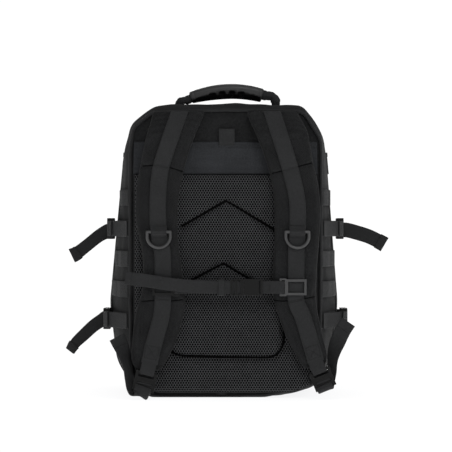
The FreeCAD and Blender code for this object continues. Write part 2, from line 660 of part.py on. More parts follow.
# each tail is two pieces: a drop from the lock, and a run that hangs up outside the pad
STRAP_TAILS = {
    "left": (
        [((-125.5, -139.0, 24.0), (0.974, 0, -0.225)), ((-127.7, -140.0, 13.0), (0.974, 0, -0.225)),
         ((-129.4, -139.4, 5.4), (0.974, 0, -0.225))],
        [((-143.0, -132.0, 4.0), (0.1, 0.99, 0)), ((-146.5, -129.5, 14.0), (0.15, 0.98, 0)),
         ((-149.5, -124.5, 29.0), (0.2, 0.97, 0)), ((-150.8, -118.0, 49.0), (0.4, 0.9, 0.1)),
         ((-154.5, -113.5, 66.0), (0.7, 0.7, 0.2)), ((-160.5, -110.5, 81.0), (0.86, 0.3, 0.4)),
         ((-167.0, -109.0, 94.0), (0.87, 0.05, 0.48))],
    ),
    "right": (
        [((150.0, -139.0, 25.0), (0.927, 0, 0.375)), ((154.2, -140.2, 14.6), (0.927, 0, 0.375)),
         ((157.2, -139.4, 7.2), (0.927, 0, 0.375))],
        [((171.5, -133.0, 8.0), (-0.1, 0.99, 0)), ((172.0, -130.0, 19.0), (-0.15, 0.98, 0)),
         ((171.0, -124.5, 36.0), (-0.2, 0.97, 0)), ((167.5, -118.5, 56.0), (-0.4, 0.9, 0)),
         ((168.0, -113.8, 73.0), (-0.75, 0.65, 0.15)), ((173.0, -110.8, 89.0), (-0.87, 0.25, 0.4)),
         ((180.5, -109.0, 104.0), (-0.84, 0.05, 0.5)), ((189.5, -107.0, 117.0), (-0.75, 0, 0.66))],
    ),
}
for side, runs in STRAP_TAILS.items():
    save("strap_tail_" + side, [ribbon(run) for run in runs])


# ---- sternum strap, drawn about z = 0 ----
SLIDER_REACH = 25.0    # from a slider's centre to the end of its ring
WEB_END_GAP = 0.6


def sternum_slider():
    """Drawn about x = 0, with its ring towards +X."""
    body = box(-15.6, 15.6, -138.6, -131.6, -12.0, 12.0)
    body = body.cut(box(-13.0, 13.0, -135.6, -133.1, -13, 13))          # shoulder webbing tunnel
    body = body.cut(box(-12.4, 12.4, -139.5, -135.0, -8.6, 8.6))        # window between two bars
    ring = box(15.0, SLIDER_REACH, -138.6, -133.6, -13.5, 13.5)
    ring = ring.cut(box(17.2, 21.8, -140, -133, -10.8, 10.8))
    return body.fuse(ring).removeSplitter()


def sternum_male():
    """Open-backed body with cross bars; prongs towards +X."""
    body = box(8.0, 28.0, -144.4, -133.4, -12.4, 12.4)
    body = body.cut(box(7.0, 29.0, -143.2, -134.4, -10.8, 10.8))
    for x0, x1 in ((11.5, 14.5), (18.5, 23.0)):                         # slots in the outer face
        body = body.cut(box(x0, x1, -145.0, -141.0, -10.8, 10.8))
    for x0, x1 in ((14.0, 20.0), (25.4, 28.0)):                         # cross bars
        body = body.fuse(box(x0, x1, -140.4, -137.0, -11.0, 11.0))
    for sign in (-1, 1):                                                # prongs
        body = body.fuse(box(27.0, 46.0, -140.2, -137.0, sign * 5.6, sign * 9.0))
    body = body.fuse(box(27.0, 44.0, -140.2, -137.0, -1.6, 1.6))        # middle tongue
    return body.removeSplitter()


def sternum_female():
    body = box(28.4, 57.0, -144.4, -133.4, -12.6, 12.6)
    body = body.cut(box(27.0, 49.0, -141.2, -136.0, -9.8, 9.8))         # mouth
    body = body.cut(box(35.0, 44.0, -141.2, -136.0, -14.0, 14.0))       # release windows
    return body.cut(box(50.5, 53.5, -145.0, -133.0, -10.4, 10.4))       # webbing slot


def save_at_sternum(name, shape, x=0):
    save(name, moved(shape, x, 0, STERNUM_Z))


save_at_sternum("sternum_slider_left", sternum_slider(), SLIDER_X["left"])
save_at_sternum("sternum_slider_right", mirror(sternum_slider()), SLIDER_X["right"])
save_at_sternum("sternum_buckle_male", sternum_male())
save_at_sternum("sternum_buckle_female", sternum_female())

STERNUM_TAIL = [
    ((24.5, -141.9, 0), (0, 0, 1)), ((-20.0, -141.9, 0), (0, 0, 1)),
    ((-40.0, -141.9, 0.8), (0, 0, 1)), ((-80.0, -142.2, 5.0), (0.05, 0, 1)),
    ((-124.0, -142.2, 11.5), (0.1, 0, 1)), ((-152.0, -141.5, 14.5), (0.1, 0, 1)),
]
web_left = SLIDER_X["left"] + SLIDER_REACH + WEB_END_GAP
web_right = SLIDER_X["right"] - SLIDER_REACH - WEB_END_GAP
half_web = STERNUM_WEB / 2
save_at_sternum("sternum_webbing_left", Part.makeCompound([
    box(web_left, 24.5, -136.2, -134.8, -half_web, half_web),
    ribbon(STERNUM_TAIL, STERNUM_WEB, 1.4),
]))
save_at_sternum("sternum_webbing_right",
                box(58.2, web_right, -137.4, -135.8, -half_web, half_web))

# ---- zip sliders and pulls: local X along the zip, Y across the chain, Z outward ----
PULL_PIN_Z = 3.7


def zip_slider(y_low, y_high):
    """Two plates either side of the chain, joined by a post, with a lug for the pull."""
    body = box(-6.5, 6.5, -y_low, y_high, 0.5, 2.0)
    body = body.fuse(box(-6.5, 6.5, -y_low, y_high, -5.8, -4.3))
    body = body.fuse(box(-6.5, -1.5, -0.6, 0.6, -5.0, 1.0))
    body = body.fuse(box(-3.4, 3.4, -1.5, 1.5, 1.8, 5.6))
    body = body.cut(bar(V(0, 0, PULL_PIN_Z), V(0, 1, 0), 3, 1.15))
    return body.removeSplitter()


def zip_pull():
    """Pin, two arms and a tab with a hole near its end."""
    z0, z1 = PULL_PIN_Z - 1.0, PULL_PIN_Z + 1.0
    body = bar(V(0, 0, PULL_PIN_Z), V(0, 1, 0), 3.4, 1.0)
    for sign in (-1, 1):
        body = body.fuse(box(-1.0, 9.0, sign * 2.1, sign * 3.9, z0, z1))
    body = body.fuse(box(7.5, 31.0, -3.9, 3.9, z0, z1))
    body = body.cut(Part.makeCylinder(1.6, 8, V(27.0, 0, 0)))
    return body.removeSplitter()


def side_frame(half, y, z, sign):
    """On the long straight run of a side: origin, direction down the zip, outward normal."""
    (x_low, z_low), (x_high, z_high) = half[3], half[4]
    down = unit(V((x_low - x_high) * sign, 0, z_low - z_high))
    x = x_low + (x_high - x_low) * (z - z_low) / (z_high - z_low)
    return (x * sign, y, z), down, V(-down.z * sign, 0, down.x * sign)


# frame, then how far the slider's plates reach towards local -Y and +Y
ZIP_SLIDERS = {
    "main_left": (side_frame(ZIP_HALF, Y_ZIP, 376.0, -1), 4.6, 4.6),
    "main_right": (side_frame(ZIP_HALF, Y_ZIP, 376.0, 1), 4.6, 4.6),
    "organizer": (side_frame(FRONT_HALF, Y_ORG_ZIP, 372.0, -1), 4.6, 2.6),
    "upper_pocket": (((-62.0, Y_POCKET_ZIP, 392.0), (1, 0, 0), (0, 0, 1)), 3.9, 4.6),
    "lower_pocket": (((-78.0, Y_POCKET_ZIP, 200.0), (1, 0, 0), (0, 0, 1)), 3.9, 4.6),
}
for name, (frame, y_low, y_high) in ZIP_SLIDERS.items():
    save("zip_slider_" + name, place(zip_slider(y_low, y_high), *frame))
    save("zip_pull_" + name, place(zip_pull(), *frame))
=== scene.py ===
# A backpack seen from its harness side: fabric body in two halves with a hinged door and two
# pockets, padded back, shoulder straps, sternum strap, compression straps and carry handle.
# Shapes are written in millimetres in the drawing's frame: +X right, +Z up from the base,
# -Y towards the wearer ("rear"), +Y towards the pockets ("front"), y = 0 near the main zip.
# make() moves them by DRAWING_Y and turns them into metres. "left" means -X throughout.
import json
import math
import bmesh
import bpy
import numpy as np
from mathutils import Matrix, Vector
from mathutils.bvhtree import BVHTree

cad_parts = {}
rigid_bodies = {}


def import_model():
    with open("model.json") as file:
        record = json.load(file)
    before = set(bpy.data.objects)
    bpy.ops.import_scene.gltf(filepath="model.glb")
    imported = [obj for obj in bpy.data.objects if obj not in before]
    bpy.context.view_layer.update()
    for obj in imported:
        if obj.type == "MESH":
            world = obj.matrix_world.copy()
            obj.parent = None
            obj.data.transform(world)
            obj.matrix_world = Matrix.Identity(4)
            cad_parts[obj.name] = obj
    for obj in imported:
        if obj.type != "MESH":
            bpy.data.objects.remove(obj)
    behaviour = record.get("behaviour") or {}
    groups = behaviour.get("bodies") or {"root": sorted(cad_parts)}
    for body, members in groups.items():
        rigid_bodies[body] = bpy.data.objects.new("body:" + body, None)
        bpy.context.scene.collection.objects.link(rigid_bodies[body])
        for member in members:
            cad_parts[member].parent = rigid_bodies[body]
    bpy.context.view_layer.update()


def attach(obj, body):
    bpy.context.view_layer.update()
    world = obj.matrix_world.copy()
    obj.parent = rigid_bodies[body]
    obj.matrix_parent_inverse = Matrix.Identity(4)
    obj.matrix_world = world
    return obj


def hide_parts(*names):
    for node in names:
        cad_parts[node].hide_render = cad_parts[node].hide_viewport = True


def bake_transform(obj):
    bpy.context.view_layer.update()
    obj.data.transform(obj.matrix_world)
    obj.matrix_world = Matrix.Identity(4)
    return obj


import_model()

DRAWING_Y = 55.0
scene = bpy.context.scene


# ---------------------------------------------------------------- small maths
def vec(*parts):
    return np.array(parts, float)


X_AXIS, Y_AXIS, Z_AXIS = vec(1, 0, 0), vec(0, 1, 0), vec(0, 0, 1)


def unit(v):
    v = np.asarray(v, float)
    norm = np.linalg.norm(v, axis=-1, keepdims=True)
    return v / np.where(norm < 1e-12, 1, norm)


def wobble(points, wave, seed):
    """Smooth noise in about [-1, 1]: six sine waves of about the given wavelength."""
    waves = 6
    random = np.random.RandomState(seed)
    points = np.asarray(points, float)
    total = np.zeros(points.shape[:-1])
    for _ in range(waves):
        direction = unit(random.normal(size=3))
        rate = 2 * math.pi / (wave * random.uniform(0.6, 1.7))
        total += np.sin(points @ direction * rate + random.uniform(0, 6.28))
    return total / waves * 1.5


def smooth(t):
    t = np.clip(t, 0, 1)
    return t * t * (3 - 2 * t)


def quarter_round(t):
    """Height of a quarter circle: 0 at t = 0, 1 from t = 1 on."""
    t = np.clip(t, 0, 1)
    return np.sqrt(np.clip(1 - (1 - t) ** 2, 0, 1))


def signed_power(value, power):
    return math.copysign(abs(value) ** power, value)


def lookup(z, table):
    """Interpolate in a table of (z, value), z rising."""
    return np.interp(z, [row[0] for row in table], [row[1] for row in table])


def distances(path):
    steps = np.linalg.norm(np.diff(path[:, :3], axis=0), axis=1)
    return np.concatenate([[0], np.cumsum(steps)])


def length(path):
    return float(np.linalg.norm(np.diff(path, axis=0), axis=1).sum())


def resample(path, count):
    """Even spacing over the first three columns; further columns follow along."""
    s = distances(path)
    t = np.linspace(0, s[-1], count)
    return np.stack([np.interp(t, s, path[:, k]) for k in range(path.shape[1])], 1)


def spline(points, count):
    """Catmull-Rom curve through the points, sampled evenly."""
    points = np.asarray(points, float)
    ends = np.vstack([2 * points[0] - points[1], points, 2 * points[-1] - points[-2]])
    out = []
    for p0, p1, p2, p3 in zip(ends, ends[1:], ends[2:], ends[3:]):
        for t in np.linspace(0, 1, 24, endpoint=False):
            out.append(0.5 * (2 * p1 + (p2 - p0) * t + (2 * p0 - 5 * p1 + 4 * p2 - p3) * t * t
                              + (3 * p1 - p0 - 3 * p2 + p3) * t ** 3))
    out.append(points[-1])
    return resample(np.array(out), count)


def corner_arc(before, corner, after, radius, steps, limit=math.inf):
    """Points easing a corner; limit caps the radius as a share of either side."""
    radius = min(radius, limit * np.linalg.norm(corner - before),
                 limit * np.linalg.norm(after - corner))
    start = corner + unit(before - corner) * radius
    end = corner + unit(after - corner) * radius
    return [(1 - t) ** 2 * start + 2 * t * (1 - t) * corner + t * t * end
            for t in (k / steps for k in range(steps + 1))]


def round_polygon(points, radius, step):
    """Closed polygon with eased corners, resampled evenly."""
    points = [vec(*p) for p in points]
    out = []
    for i, point in enumerate(points):
        after = points[(i + 1) % len(points)]
        out += corner_arc(points[i - 1], point, after, radius, 5, limit=0.45)
    out = np.array(out + [out[0]])
    return resample(out, int(length(out) / step) + 1)[:-1]


def segment_distance(x, z, points):
    """Distance in x-z to a polyline."""
    best = np.full(np.shape(x), 1e9)
    for (x0, z0), (x1, z1) in zip(points, points[1:]):
        dx, dz = x1 - x0, z1 - z0
        t = np.clip(((x - x0) * dx + (z - z0) * dz) / (dx * dx + dz * dz), 0, 1)
        best = np.minimum(best, np.hypot(x - x0 - t * dx, z - z0 - t * dz))
    return best


def ring_normals(ring):
    """Outward normals of an anticlockwise x-z ring seen from -Y."""
    t = unit(np.roll(ring, -1, 0) - np.roll(ring, 1, 0))
    return np.stack([t[:, 1], -t[:, 0]], 1)


def at_y(ring, y):
    return np.stack([ring[:, 0], np.full(len(ring), float(y)), ring[:, 1]], 1)


def push(points, normals, distance):
    """Move 3D ring points in place along x-z normals."""
    points[:, 0] += normals[:, 0] * distance
    points[:, 2] += normals[:, 1] * distance


def arches(positions, bars, power):
    """0 at each bar and rising to 1 midway between neighbours."""
    rise = np.zeros(len(positions))
    for low, high in zip(bars, bars[1:]):
        inside = (positions >= low) & (positions <= high)
        u = np.clip((positions - low) / (high - low), 0, 1)
        rise = np.where(inside, np.sin(math.pi * u) ** power, rise)
    return rise


# ---------------------------------------------------------------- mesh building
def make(name, verts, faces, mat, body, slot=None, smooth_shade=True, uv=None, replaces=()):
    moved = np.array(verts, float)
    moved[:, 1] += DRAWING_Y
    mesh = bpy.data.meshes.new(name)
    mesh.from_pydata((moved * 0.001).tolist(), [], [tuple(int(i) for i in f) for f in faces])
    if uv is not None:
        layer = mesh.uv_layers.new(name="UVMap")
        corner_verts = np.zeros(len(mesh.loops), np.int64)
        mesh.loops.foreach_get("vertex_index", corner_verts)
        layer.data.foreach_set("uv", np.asarray(uv, np.float32)[corner_verts].ravel())
    mesh.validate()
    mesh.update()
    if smooth_shade:
        shade_smooth(mesh)
    obj = bpy.data.objects.new(name, mesh)
    scene.collection.objects.link(obj)
    mesh.materials.append(mat)
    if body:
        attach(obj, body)
    if replaces:
        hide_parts(*replaces)
    return obj


def shade_smooth(mesh):
    mesh.polygons.foreach_set("use_smooth", [True] * len(mesh.polygons))


def mark_sharp(obj, degrees):
    bm = bmesh.new()
    bm.from_mesh(obj.data)
    limit = math.radians(degrees)
    for edge in bm.edges:
        if len(edge.link_faces) == 2 and edge.calc_face_angle(0.0) > limit:
            edge.smooth = False
    bm.to_mesh(obj.data)
    bm.free()


def fix_normals(obj):
    bm = bmesh.new()
    bm.from_mesh(obj.data)
    bmesh.ops.recalc_face_normals(bm, faces=bm.faces)
    bm.to_mesh(obj.data)
    bm.free()
    return obj


def paint(obj, mat, chosen):
    """Give the chosen faces (one flag per face) a second material."""
    obj.data.materials.append(mat)
    obj.data.polygons.foreach_set("material_index", np.array(chosen, np.int32))


def apply_modifiers(obj):
    depsgraph = bpy.context.evaluated_depsgraph_get()
    obj.data = bpy.data.meshes.new_from_object(obj.evaluated_get(depsgraph))
    obj.modifiers.clear()


def coordinates(mesh):
    co = np.zeros(len(mesh.vertices) * 3)
    mesh.vertices.foreach_get("co", co)
    return co.reshape(-1, 3)


def drawing_coordinates(obj):
    co = coordinates(obj.data) * 1000.0
    co[:, 1] -= DRAWING_Y
    return co


def join_rings(a, b, n):
    """Faces between ring number a and ring number b, n points each."""
    return [(a * n + k, a * n + (k + 1) % n, b * n + (k + 1) % n, b * n + k) for k in range(n)]


def skin_faces(rings, n, capped=False):
    faces = []
    for i in range(rings - 1):
        faces += join_rings(i, i + 1, n)
    if capped:
        faces.append(tuple(reversed(range(n))))
        faces.append(tuple((rings - 1) * n + k for k in range(n)))
    return faces


def closed_skin(rings, start_centre, end_centre):
    """Skin over the rings, each end fanned to a centre point."""
    n = len(rings[0])
    faces = skin_faces(len(rings), n)
    start = len(rings) * n
    last = start - n
    for k in range(n):
        q = (k + 1) % n
        faces += [(start, q, k), (start + 1, last + k, last + q)]
    return np.vstack(rings + [start_centre, end_centre]), faces


def grid_faces(rows, cols):
    return [(a, a + 1, a + cols + 1, a + cols)
            for a in (i * cols + k for i in range(rows - 1) for k in range(cols - 1))]


def slab_faces(rows, cols):
    """Two stacked grids, near one first, joined round the rim."""
    n = rows * cols
    faces = []
    for a, b, c, d in grid_faces(rows, cols):
        faces += [(a, b, c, d), (n + a, n + d, n + c, n + b)]
    rim = list(range(cols))
    rim += [i * cols + cols - 1 for i in range(1, rows)]
    rim += [(rows - 1) * cols + k for k in range(cols - 2, -1, -1)]
    rim += [i * cols for i in range(rows - 2, 0, -1)]
    return faces + [(a, n + a, n + b, b) for a, b in zip(rim, rim[1:] + rim[:1])]


def path_frames(path, across):
    """Width and face directions along a path."""
    t = unit(np.gradient(path, axis=0))
    width = unit(across - t * (across * t).sum(1, keepdims=True))
    for i in range(1, len(width)):
        if (width[i] * width[i - 1]).sum() < 0:
            width[i] = -width[i]
    return width, np.cross(t, width)


# one half of the tape section: (share of half width, share of half thickness)
TAPE_TOP = [(-1.0, 0.0), (-0.975, 0.72), (-0.86, 1.0), (-0.5, 1.0),
            (0.0, 1.0), (0.5, 1.0), (0.86, 1.0), (0.975, 0.72)]
TAPE_SECTION = TAPE_TOP + [(-a, -b) for a, b in TAPE_TOP]


def ribbon_geometry(path, across, width, thick, u_start=0.0):
    """Webbing with rounded edges, UV in millimetres (along, across)."""
    side, face = path_frames(path, across)
    half_width, half_thick = width / 2.0, thick / 2.0
    s = distances(path) + u_start
    verts, uvs = [], []
    for a, b in TAPE_SECTION:
        verts.append(path + side * (half_width * a) + face * (half_thick * b))
        uvs.append(np.stack([s, np.full(len(path), half_width * a)], 1))
    verts = np.stack(verts, 1).reshape(-1, 3)
    uvs = np.stack(uvs, 1).reshape(-1, 2)
    return verts, skin_faces(len(path), len(TAPE_SECTION), True), uvs


def tube_geometry(path, radius, sides, closed=False, swell=1.0):
    """Tube round a path; swell scales the radius point by point."""
    if closed:
        t = unit(np.roll(path, -1, 0) - np.roll(path, 1, 0))
    else:
        t = unit(np.gradient(path, axis=0))
    first = unit(np.cross(t, Y_AXIS))
    second = np.cross(first, t)
    angle = np.linspace(0, 2 * math.pi, sides, endpoint=False)[None, :, None]
    radii = (radius * np.broadcast_to(swell, len(path)))[:, None, None]
    circle = first[:, None, :] * np.cos(angle) + second[:, None, :] * np.sin(angle)
    verts = (path[:, None, :] + radii * circle).reshape(-1, 3)
    faces = skin_faces(len(path), sides, not closed)
    if closed:
        faces += join_rings(len(path) - 1, 0, sides)
    return verts, faces


def running_uv(count, step):
    return np.stack([np.arange(count) * step, np.zeros(count)], 1)


class Parts:
    """Collects many small pieces into one mesh."""

    def __init__(self):
        self.verts, self.faces, self.uvs, self.count = [], [], [], 0

    def add(self, verts, faces, uv=None):
        verts = np.asarray(verts, float)
        self.verts.append(verts)
        self.uvs.append(np.zeros((len(verts), 2)) if uv is None else np.asarray(uv, float))
        self.faces += [tuple(i + self.count for i in f) for f in faces]
        self.count += len(verts)

    def ribbon(self, path, across, width, thick, u_start=0.0):
        self.add(*ribbon_geometry(path, across, width, thick, u_start))

    def tube(self, path, radius, sides, closed=False, swell=1.0, uv_step=0.0):
        verts, faces = tube_geometry(path, radius, sides, closed, swell)
        self.add(verts, faces, running_uv(len(verts), uv_step))

    def band(self, rows, along, across):
        """Closed rings joined side by side; along and across are the UV steps."""
        n = len(rows[0])
        s = np.arange(n) * along
        uv = np.vstack([np.stack([s, np.full(n, j * across)], 1) for j in range(len(rows))])
        self.add(np.vstack(rows), skin_faces(len(rows), n), uv)

    def coil(self, path, radius):
        """Zip coil: a thin tube swelling once per tooth."""
        pitch = 1.7
        step = pitch / 4.0
        count = int(length(path) / step)
        s = np.arange(count) * step
        self.tube(resample(path, count), radius, 6,
                  swell=1.0 + 0.28 * np.sin(2 * math.pi * s / pitch))

    def stitches(self, path, normal, *, pitch, dash, width, height, lift=0.0):
        """Raised thread dashes along a polyline lying on a surface."""
        points = resample(path, max(2, int(length(path) / pitch)) + 1)
        along = unit(points[1:] - points[:-1])
        normals = unit(normal - along * (normal * along).sum(1, keepdims=True))
        sides = np.cross(along, normals)
        centres = (points[:-1] + points[1:]) / 2 + normals * lift
        for c, t, n, b in zip(centres, along, normals, sides):
            verts = [c - t * dash / 2, c + b * width / 2, c + t * dash / 2,
                     c - b * width / 2, c + n * height, c - n * height]
            self.add(verts, [(0, 1, 4), (1, 2, 4), (2, 3, 4), (3, 0, 4),
                             (1, 0, 5), (2, 1, 5), (3, 2, 5), (0, 3, 5)])

    def bar(self, centre, half, normal, samples, **thread):
        """A straight row of stitches from centre - half to centre + half."""
        self.stitches(np.linspace(centre - half, centre + half, samples), normal, **thread)

    def make(self, name, mat, body, **options):
        return make(name, np.vstack(self.verts), self.faces, mat, body,
                    uv=np.vstack(self.uvs), **options)


# ---------------------------------------------------------------- materials
class Shader:
    """A Principled material being wired up."""

    def __init__(self, name):
        self.material = bpy.data.materials.new(name)
        self.material.use_nodes = True
        self.tree = self.material.node_tree
        self.tree.nodes.clear()
        self.output = self.node("OutputMaterial")
        self.bsdf = self.node("BsdfPrincipled")
        self.link(self.bsdf.outputs[0], self.output.inputs[0])

    def node(self, kind):
        return self.tree.nodes.new("ShaderNode" + kind)

    def link(self, source, target):
        self.tree.links.new(source, target)

    def set(self, values):
        """Principled inputs by name: numbers and colours are set, sockets linked."""
        for name, value in values.items():
            if isinstance(value, bpy.types.NodeSocket):
                self.link(value, self.bsdf.inputs[name])
            else:
                self.bsdf.inputs[name].default_value = value

    def math(self, operation, *values, clamp=False):
        node = self.node("Math")
        node.operation = operation
        node.use_clamp = clamp
        for i, value in enumerate(values):
            if isinstance(value, (int, float)):
                node.inputs[i].default_value = value
            else:
                self.link(value, node.inputs[i])
        return node.outputs[0]

    def mix(self, factor, low, high):
        """Colour mix; low and high are RGB tuples or sockets."""
        node = self.node("Mix")
        node.data_type = "RGBA"
        self.link(factor, node.inputs[0])
        for i, colour in ((6, low), (7, high)):
            if isinstance(colour, tuple):
                node.inputs[i].default_value = (*colour, 1)
            else:
                self.link(colour, node.inputs[i])
        return node.outputs[2]

    def noise(self, coords, scale, detail, rough=0.55):
        node = self.node("TexNoise")
        node.inputs["Scale"].default_value = scale
        node.inputs["Detail"].default_value = detail
        node.inputs["Roughness"].default_value = rough
        self.link(coords, node.inputs["Vector"])
        return node.outputs["Fac"]

    def bump(self, height, strength, distance):
        node = self.node("Bump")
        node.inputs["Strength"].default_value = strength
        node.inputs["Distance"].default_value = distance
        self.link(height, node.inputs["Height"])
        self.link(node.outputs[0], self.bsdf.inputs["Normal"])


def grey(level, tint):
    """Grey pushed slightly towards blue."""
    return (level * (1 - tint), level, level * (1 + tint * 2))


def cloth_surface(shader, coords, weave, *, fine_scale, slow_scale, slow_detail, medium_scale,
                  fine_height, medium_height, weave_tone, slow_tone, medium_tone, tone_offset,
                  dark, light, rough, rough_spread, spec, sheen, sheen_rough, bump):
    """Colour, gloss and relief of a textile from its weave pattern and three noises."""
    fine = shader.noise(coords, fine_scale, 2.0)
    slow = shader.noise(coords, slow_scale, slow_detail, 0.6)
    height = shader.math("ADD", weave, shader.math("MULTIPLY", fine, fine_height))
    medium = shader.noise(coords, medium_scale, 2.0, 0.7)
    height = shader.math("ADD", height, shader.math("MULTIPLY", medium, medium_height))
    tone = shader.math("ADD", shader.math("MULTIPLY", weave, weave_tone),
                       shader.math("MULTIPLY", slow, slow_tone))
    tone = shader.math("ADD", tone, shader.math("MULTIPLY", medium, medium_tone))
    tone = shader.math("SUBTRACT", tone, tone_offset, clamp=True)
    shader.set({
        "Base Color": shader.mix(tone, dark, light),
        "Roughness": shader.math("MULTIPLY_ADD", fine, rough_spread, rough - rough_spread / 2),
        "Specular IOR Level": spec,
        "Sheen Weight": sheen,
        "Sheen Roughness": sheen_rough,
    })
    shader.bump(height, bump, 0.0004)
    return shader.material


def fabric(name, level, tint=0.02, pitch=1.1, bump=0.35, rough=0.85, sheen=0.05, spec=0.10,
           diagonal=True, contrast=0.35):
    """Woven cloth: crossing sets of yarns, pitch in millimetres, with slow colour drift."""
    shader = Shader(name)
    coords = shader.node("TexCoord").outputs["Object"]
    split = shader.node("SeparateXYZ")
    shader.link(coords, split.inputs[0])
    x, y, z = split.outputs
    rate = 2 * math.pi / (pitch * 0.001)
    warp, weft = x, z
    if diagonal:
        warp = shader.math("ADD", x, z)
        weft = shader.math("SUBTRACT", x, z)
        rate *= 0.707
    yarns = [shader.math("SINE", shader.math("MULTIPLY", axis, rate)) for axis in (warp, weft, y)]
    weave = shader.math("ADD", shader.math("ADD", yarns[0], yarns[1]), yarns[2])
    weave = shader.math("MULTIPLY_ADD", weave, 0.1667, 0.5)
    return cloth_surface(
        shader, coords, weave, fine_scale=900.0, slow_scale=26.0, slow_detail=4.0,
        medium_scale=430.0, fine_height=0.5, medium_height=1.6, weave_tone=0.45, slow_tone=0.75,
        medium_tone=1.5, tone_offset=0.85, dark=grey(level * (1 - contrast), tint),
        light=grey(level * (1 + contrast), tint), rough=rough, rough_spread=0.14, spec=spec,
        sheen=sheen, sheen_rough=0.45, bump=bump)


def webbing(name, level, bump=0.5):
    """Ribbed tape: cross ribs in a shallow herringbone. Needs UVs in millimetres."""
    rib_pitch, lane_pitch, zigzag_width, zigzag_slope = 1.25, 1.55, 3.1, 0.55
    tint = 0.02
    shader = Shader(name)
    uv = shader.node("UVMap")
    split = shader.node("SeparateXYZ")
    shader.link(uv.outputs[0], split.inputs[0])
    along, across = split.outputs[0], split.outputs[1]
    zigzag = shader.math("PINGPONG", across, zigzag_width)
    slant = shader.math("ADD", along, shader.math("MULTIPLY", zigzag, zigzag_slope))
    rib = shader.math("SINE", shader.math("MULTIPLY", slant, 2 * math.pi / rib_pitch))
    lane = shader.math("SINE", shader.math("MULTIPLY", across, 2 * math.pi / lane_pitch))
    weave = shader.math("MULTIPLY_ADD", rib, 0.34,
                        shader.math("MULTIPLY_ADD", lane, 0.16, 0.5))
    coords = shader.node("TexCoord").outputs["Object"]
    return cloth_surface(
        shader, coords, weave, fine_scale=1200.0, slow_scale=34.0, slow_detail=3.0,
        medium_scale=360.0, fine_height=0.4, medium_height=0.8, weave_tone=0.5, slow_tone=0.6,
        medium_tone=1.2, tone_offset=0.65, dark=grey(level * 0.68, tint),
        light=grey(level * 1.3, tint), rough=0.74, rough_spread=0.16, spec=0.16,
        sheen=0.06, sheen_rough=0.4, bump=bump)


def edge_mask(shader):
    """High where an edge is sharp."""
    radius, gain = 0.0012, 6.0
    bevel = shader.node("Bevel")
    bevel.samples = 4
    bevel.inputs["Radius"].default_value = radius
    geometry = shader.node("NewGeometry")
    dot = shader.node("VectorMath")
    dot.operation = "DOT_PRODUCT"
    shader.link(bevel.outputs[0], dot.inputs[0])
    shader.link(geometry.outputs["Normal"], dot.inputs[1])
    bend = shader.math("SUBTRACT", 1.0, dot.outputs["Value"], clamp=True)
    return shader.math("MULTIPLY", bend, gain, clamp=True)


def plastic(name, level, rough=0.42, spec=0.5, highlight_wear=2.2, bump=0.12, scale=500.0):
    """Moulded part: fine pebble, scuffed patches, sharp edges painted lighter by the edge factor, a
    painted highlight that partly stands for rubbed wear.
    """
    tint, rough_spread = 0.01, 0.22
    shader = Shader(name)
    coords = shader.node("TexCoord").outputs["Object"]
    fine = shader.noise(coords, scale, 4.0, 0.6)
    slow = shader.noise(coords, 60.0, 3.0, 0.6)
    # painted highlight: the base grey is lightened on sharp edges, partly standing for rubbed wear
    edges = edge_mask(shader)
    edges = shader.math("MULTIPLY", edges, shader.math("MULTIPLY_ADD", slow, 0.9, 0.35),
                        clamp=True)
    base = shader.mix(slow, grey(level * 0.8, tint), grey(level * 1.2, tint))
    shader.set({
        "Base Color": shader.mix(edges, base, grey(level * highlight_wear, tint)),
        "Roughness": shader.math("MULTIPLY_ADD", slow, rough_spread, rough - rough_spread / 2),
        "Specular IOR Level": spec,
    })
    shader.bump(fine, bump, 0.0003)
    return shader.material


# the second value is the base grey level
MAT = {
    "pack": fabric("pack_fabric", 0.0112, pitch=2.0, bump=0.7, contrast=0.6),
    "pad": fabric("pad_fabric", 0.0108, pitch=2.7, bump=1.0, contrast=0.75),
    "band": fabric("band_fabric", 0.0240, tint=0.05, pitch=1.6, bump=0.5, diagonal=False,
                   contrast=0.4),
    "lining": fabric("lining_fabric", 0.020, pitch=0.8, bump=0.25, diagonal=False),
    # the dark foam material also paints the shade cords in the pad grooves and seams
    "foam": fabric("foam_and_painted_shade", 0.0022, pitch=2.4, bump=0.5, spec=0.02, sheen=0.0),
    "net": fabric("spacer_net", 0.074, pitch=0.7, bump=0.6, rough=0.7, spec=0.2, sheen=0.05),
    "binding": webbing("edge_binding", 0.0150, bump=0.4),
    "web": webbing("webbing", 0.0190, bump=0.9),
    "web_dark": webbing("webbing_dark", 0.0155),
    "loop": fabric("loop_pile", 0.014, pitch=0.9, bump=1.0, sheen=0.3),
    "thread": fabric("thread", 0.0022, pitch=0.6, bump=0.4, spec=0.3),
    # each plastic's edge factor sets its painted edge highlight, which partly stands for rubbed wear
    "plastic": plastic("moulded_plastic", 0.0036, rough=0.52, spec=0.17, highlight_wear=7.0),
    "ring": plastic("ring_plastic", 0.032, spec=0.45, highlight_wear=2.0),
    "grip": plastic("grip_rubber", 0.0150, rough=0.48, spec=0.4, highlight_wear=1.3, bump=0.2, scale=900.0),
    "grip_low": plastic("grip_rubber_gloss", 0.0014, rough=0.30, spec=0.24, highlight_wear=1.3, bump=0.04),
    "zip": plastic("zip_coil", 0.010, rough=0.4, spec=0.4, highlight_wear=1.5),
    "zipmetal": plastic("zip_paint", 0.014, rough=0.34, spec=0.6, highlight_wear=6.0),
    "board": plastic("frame_board", 0.02, rough=0.5, highlight_wear=1.5),
}


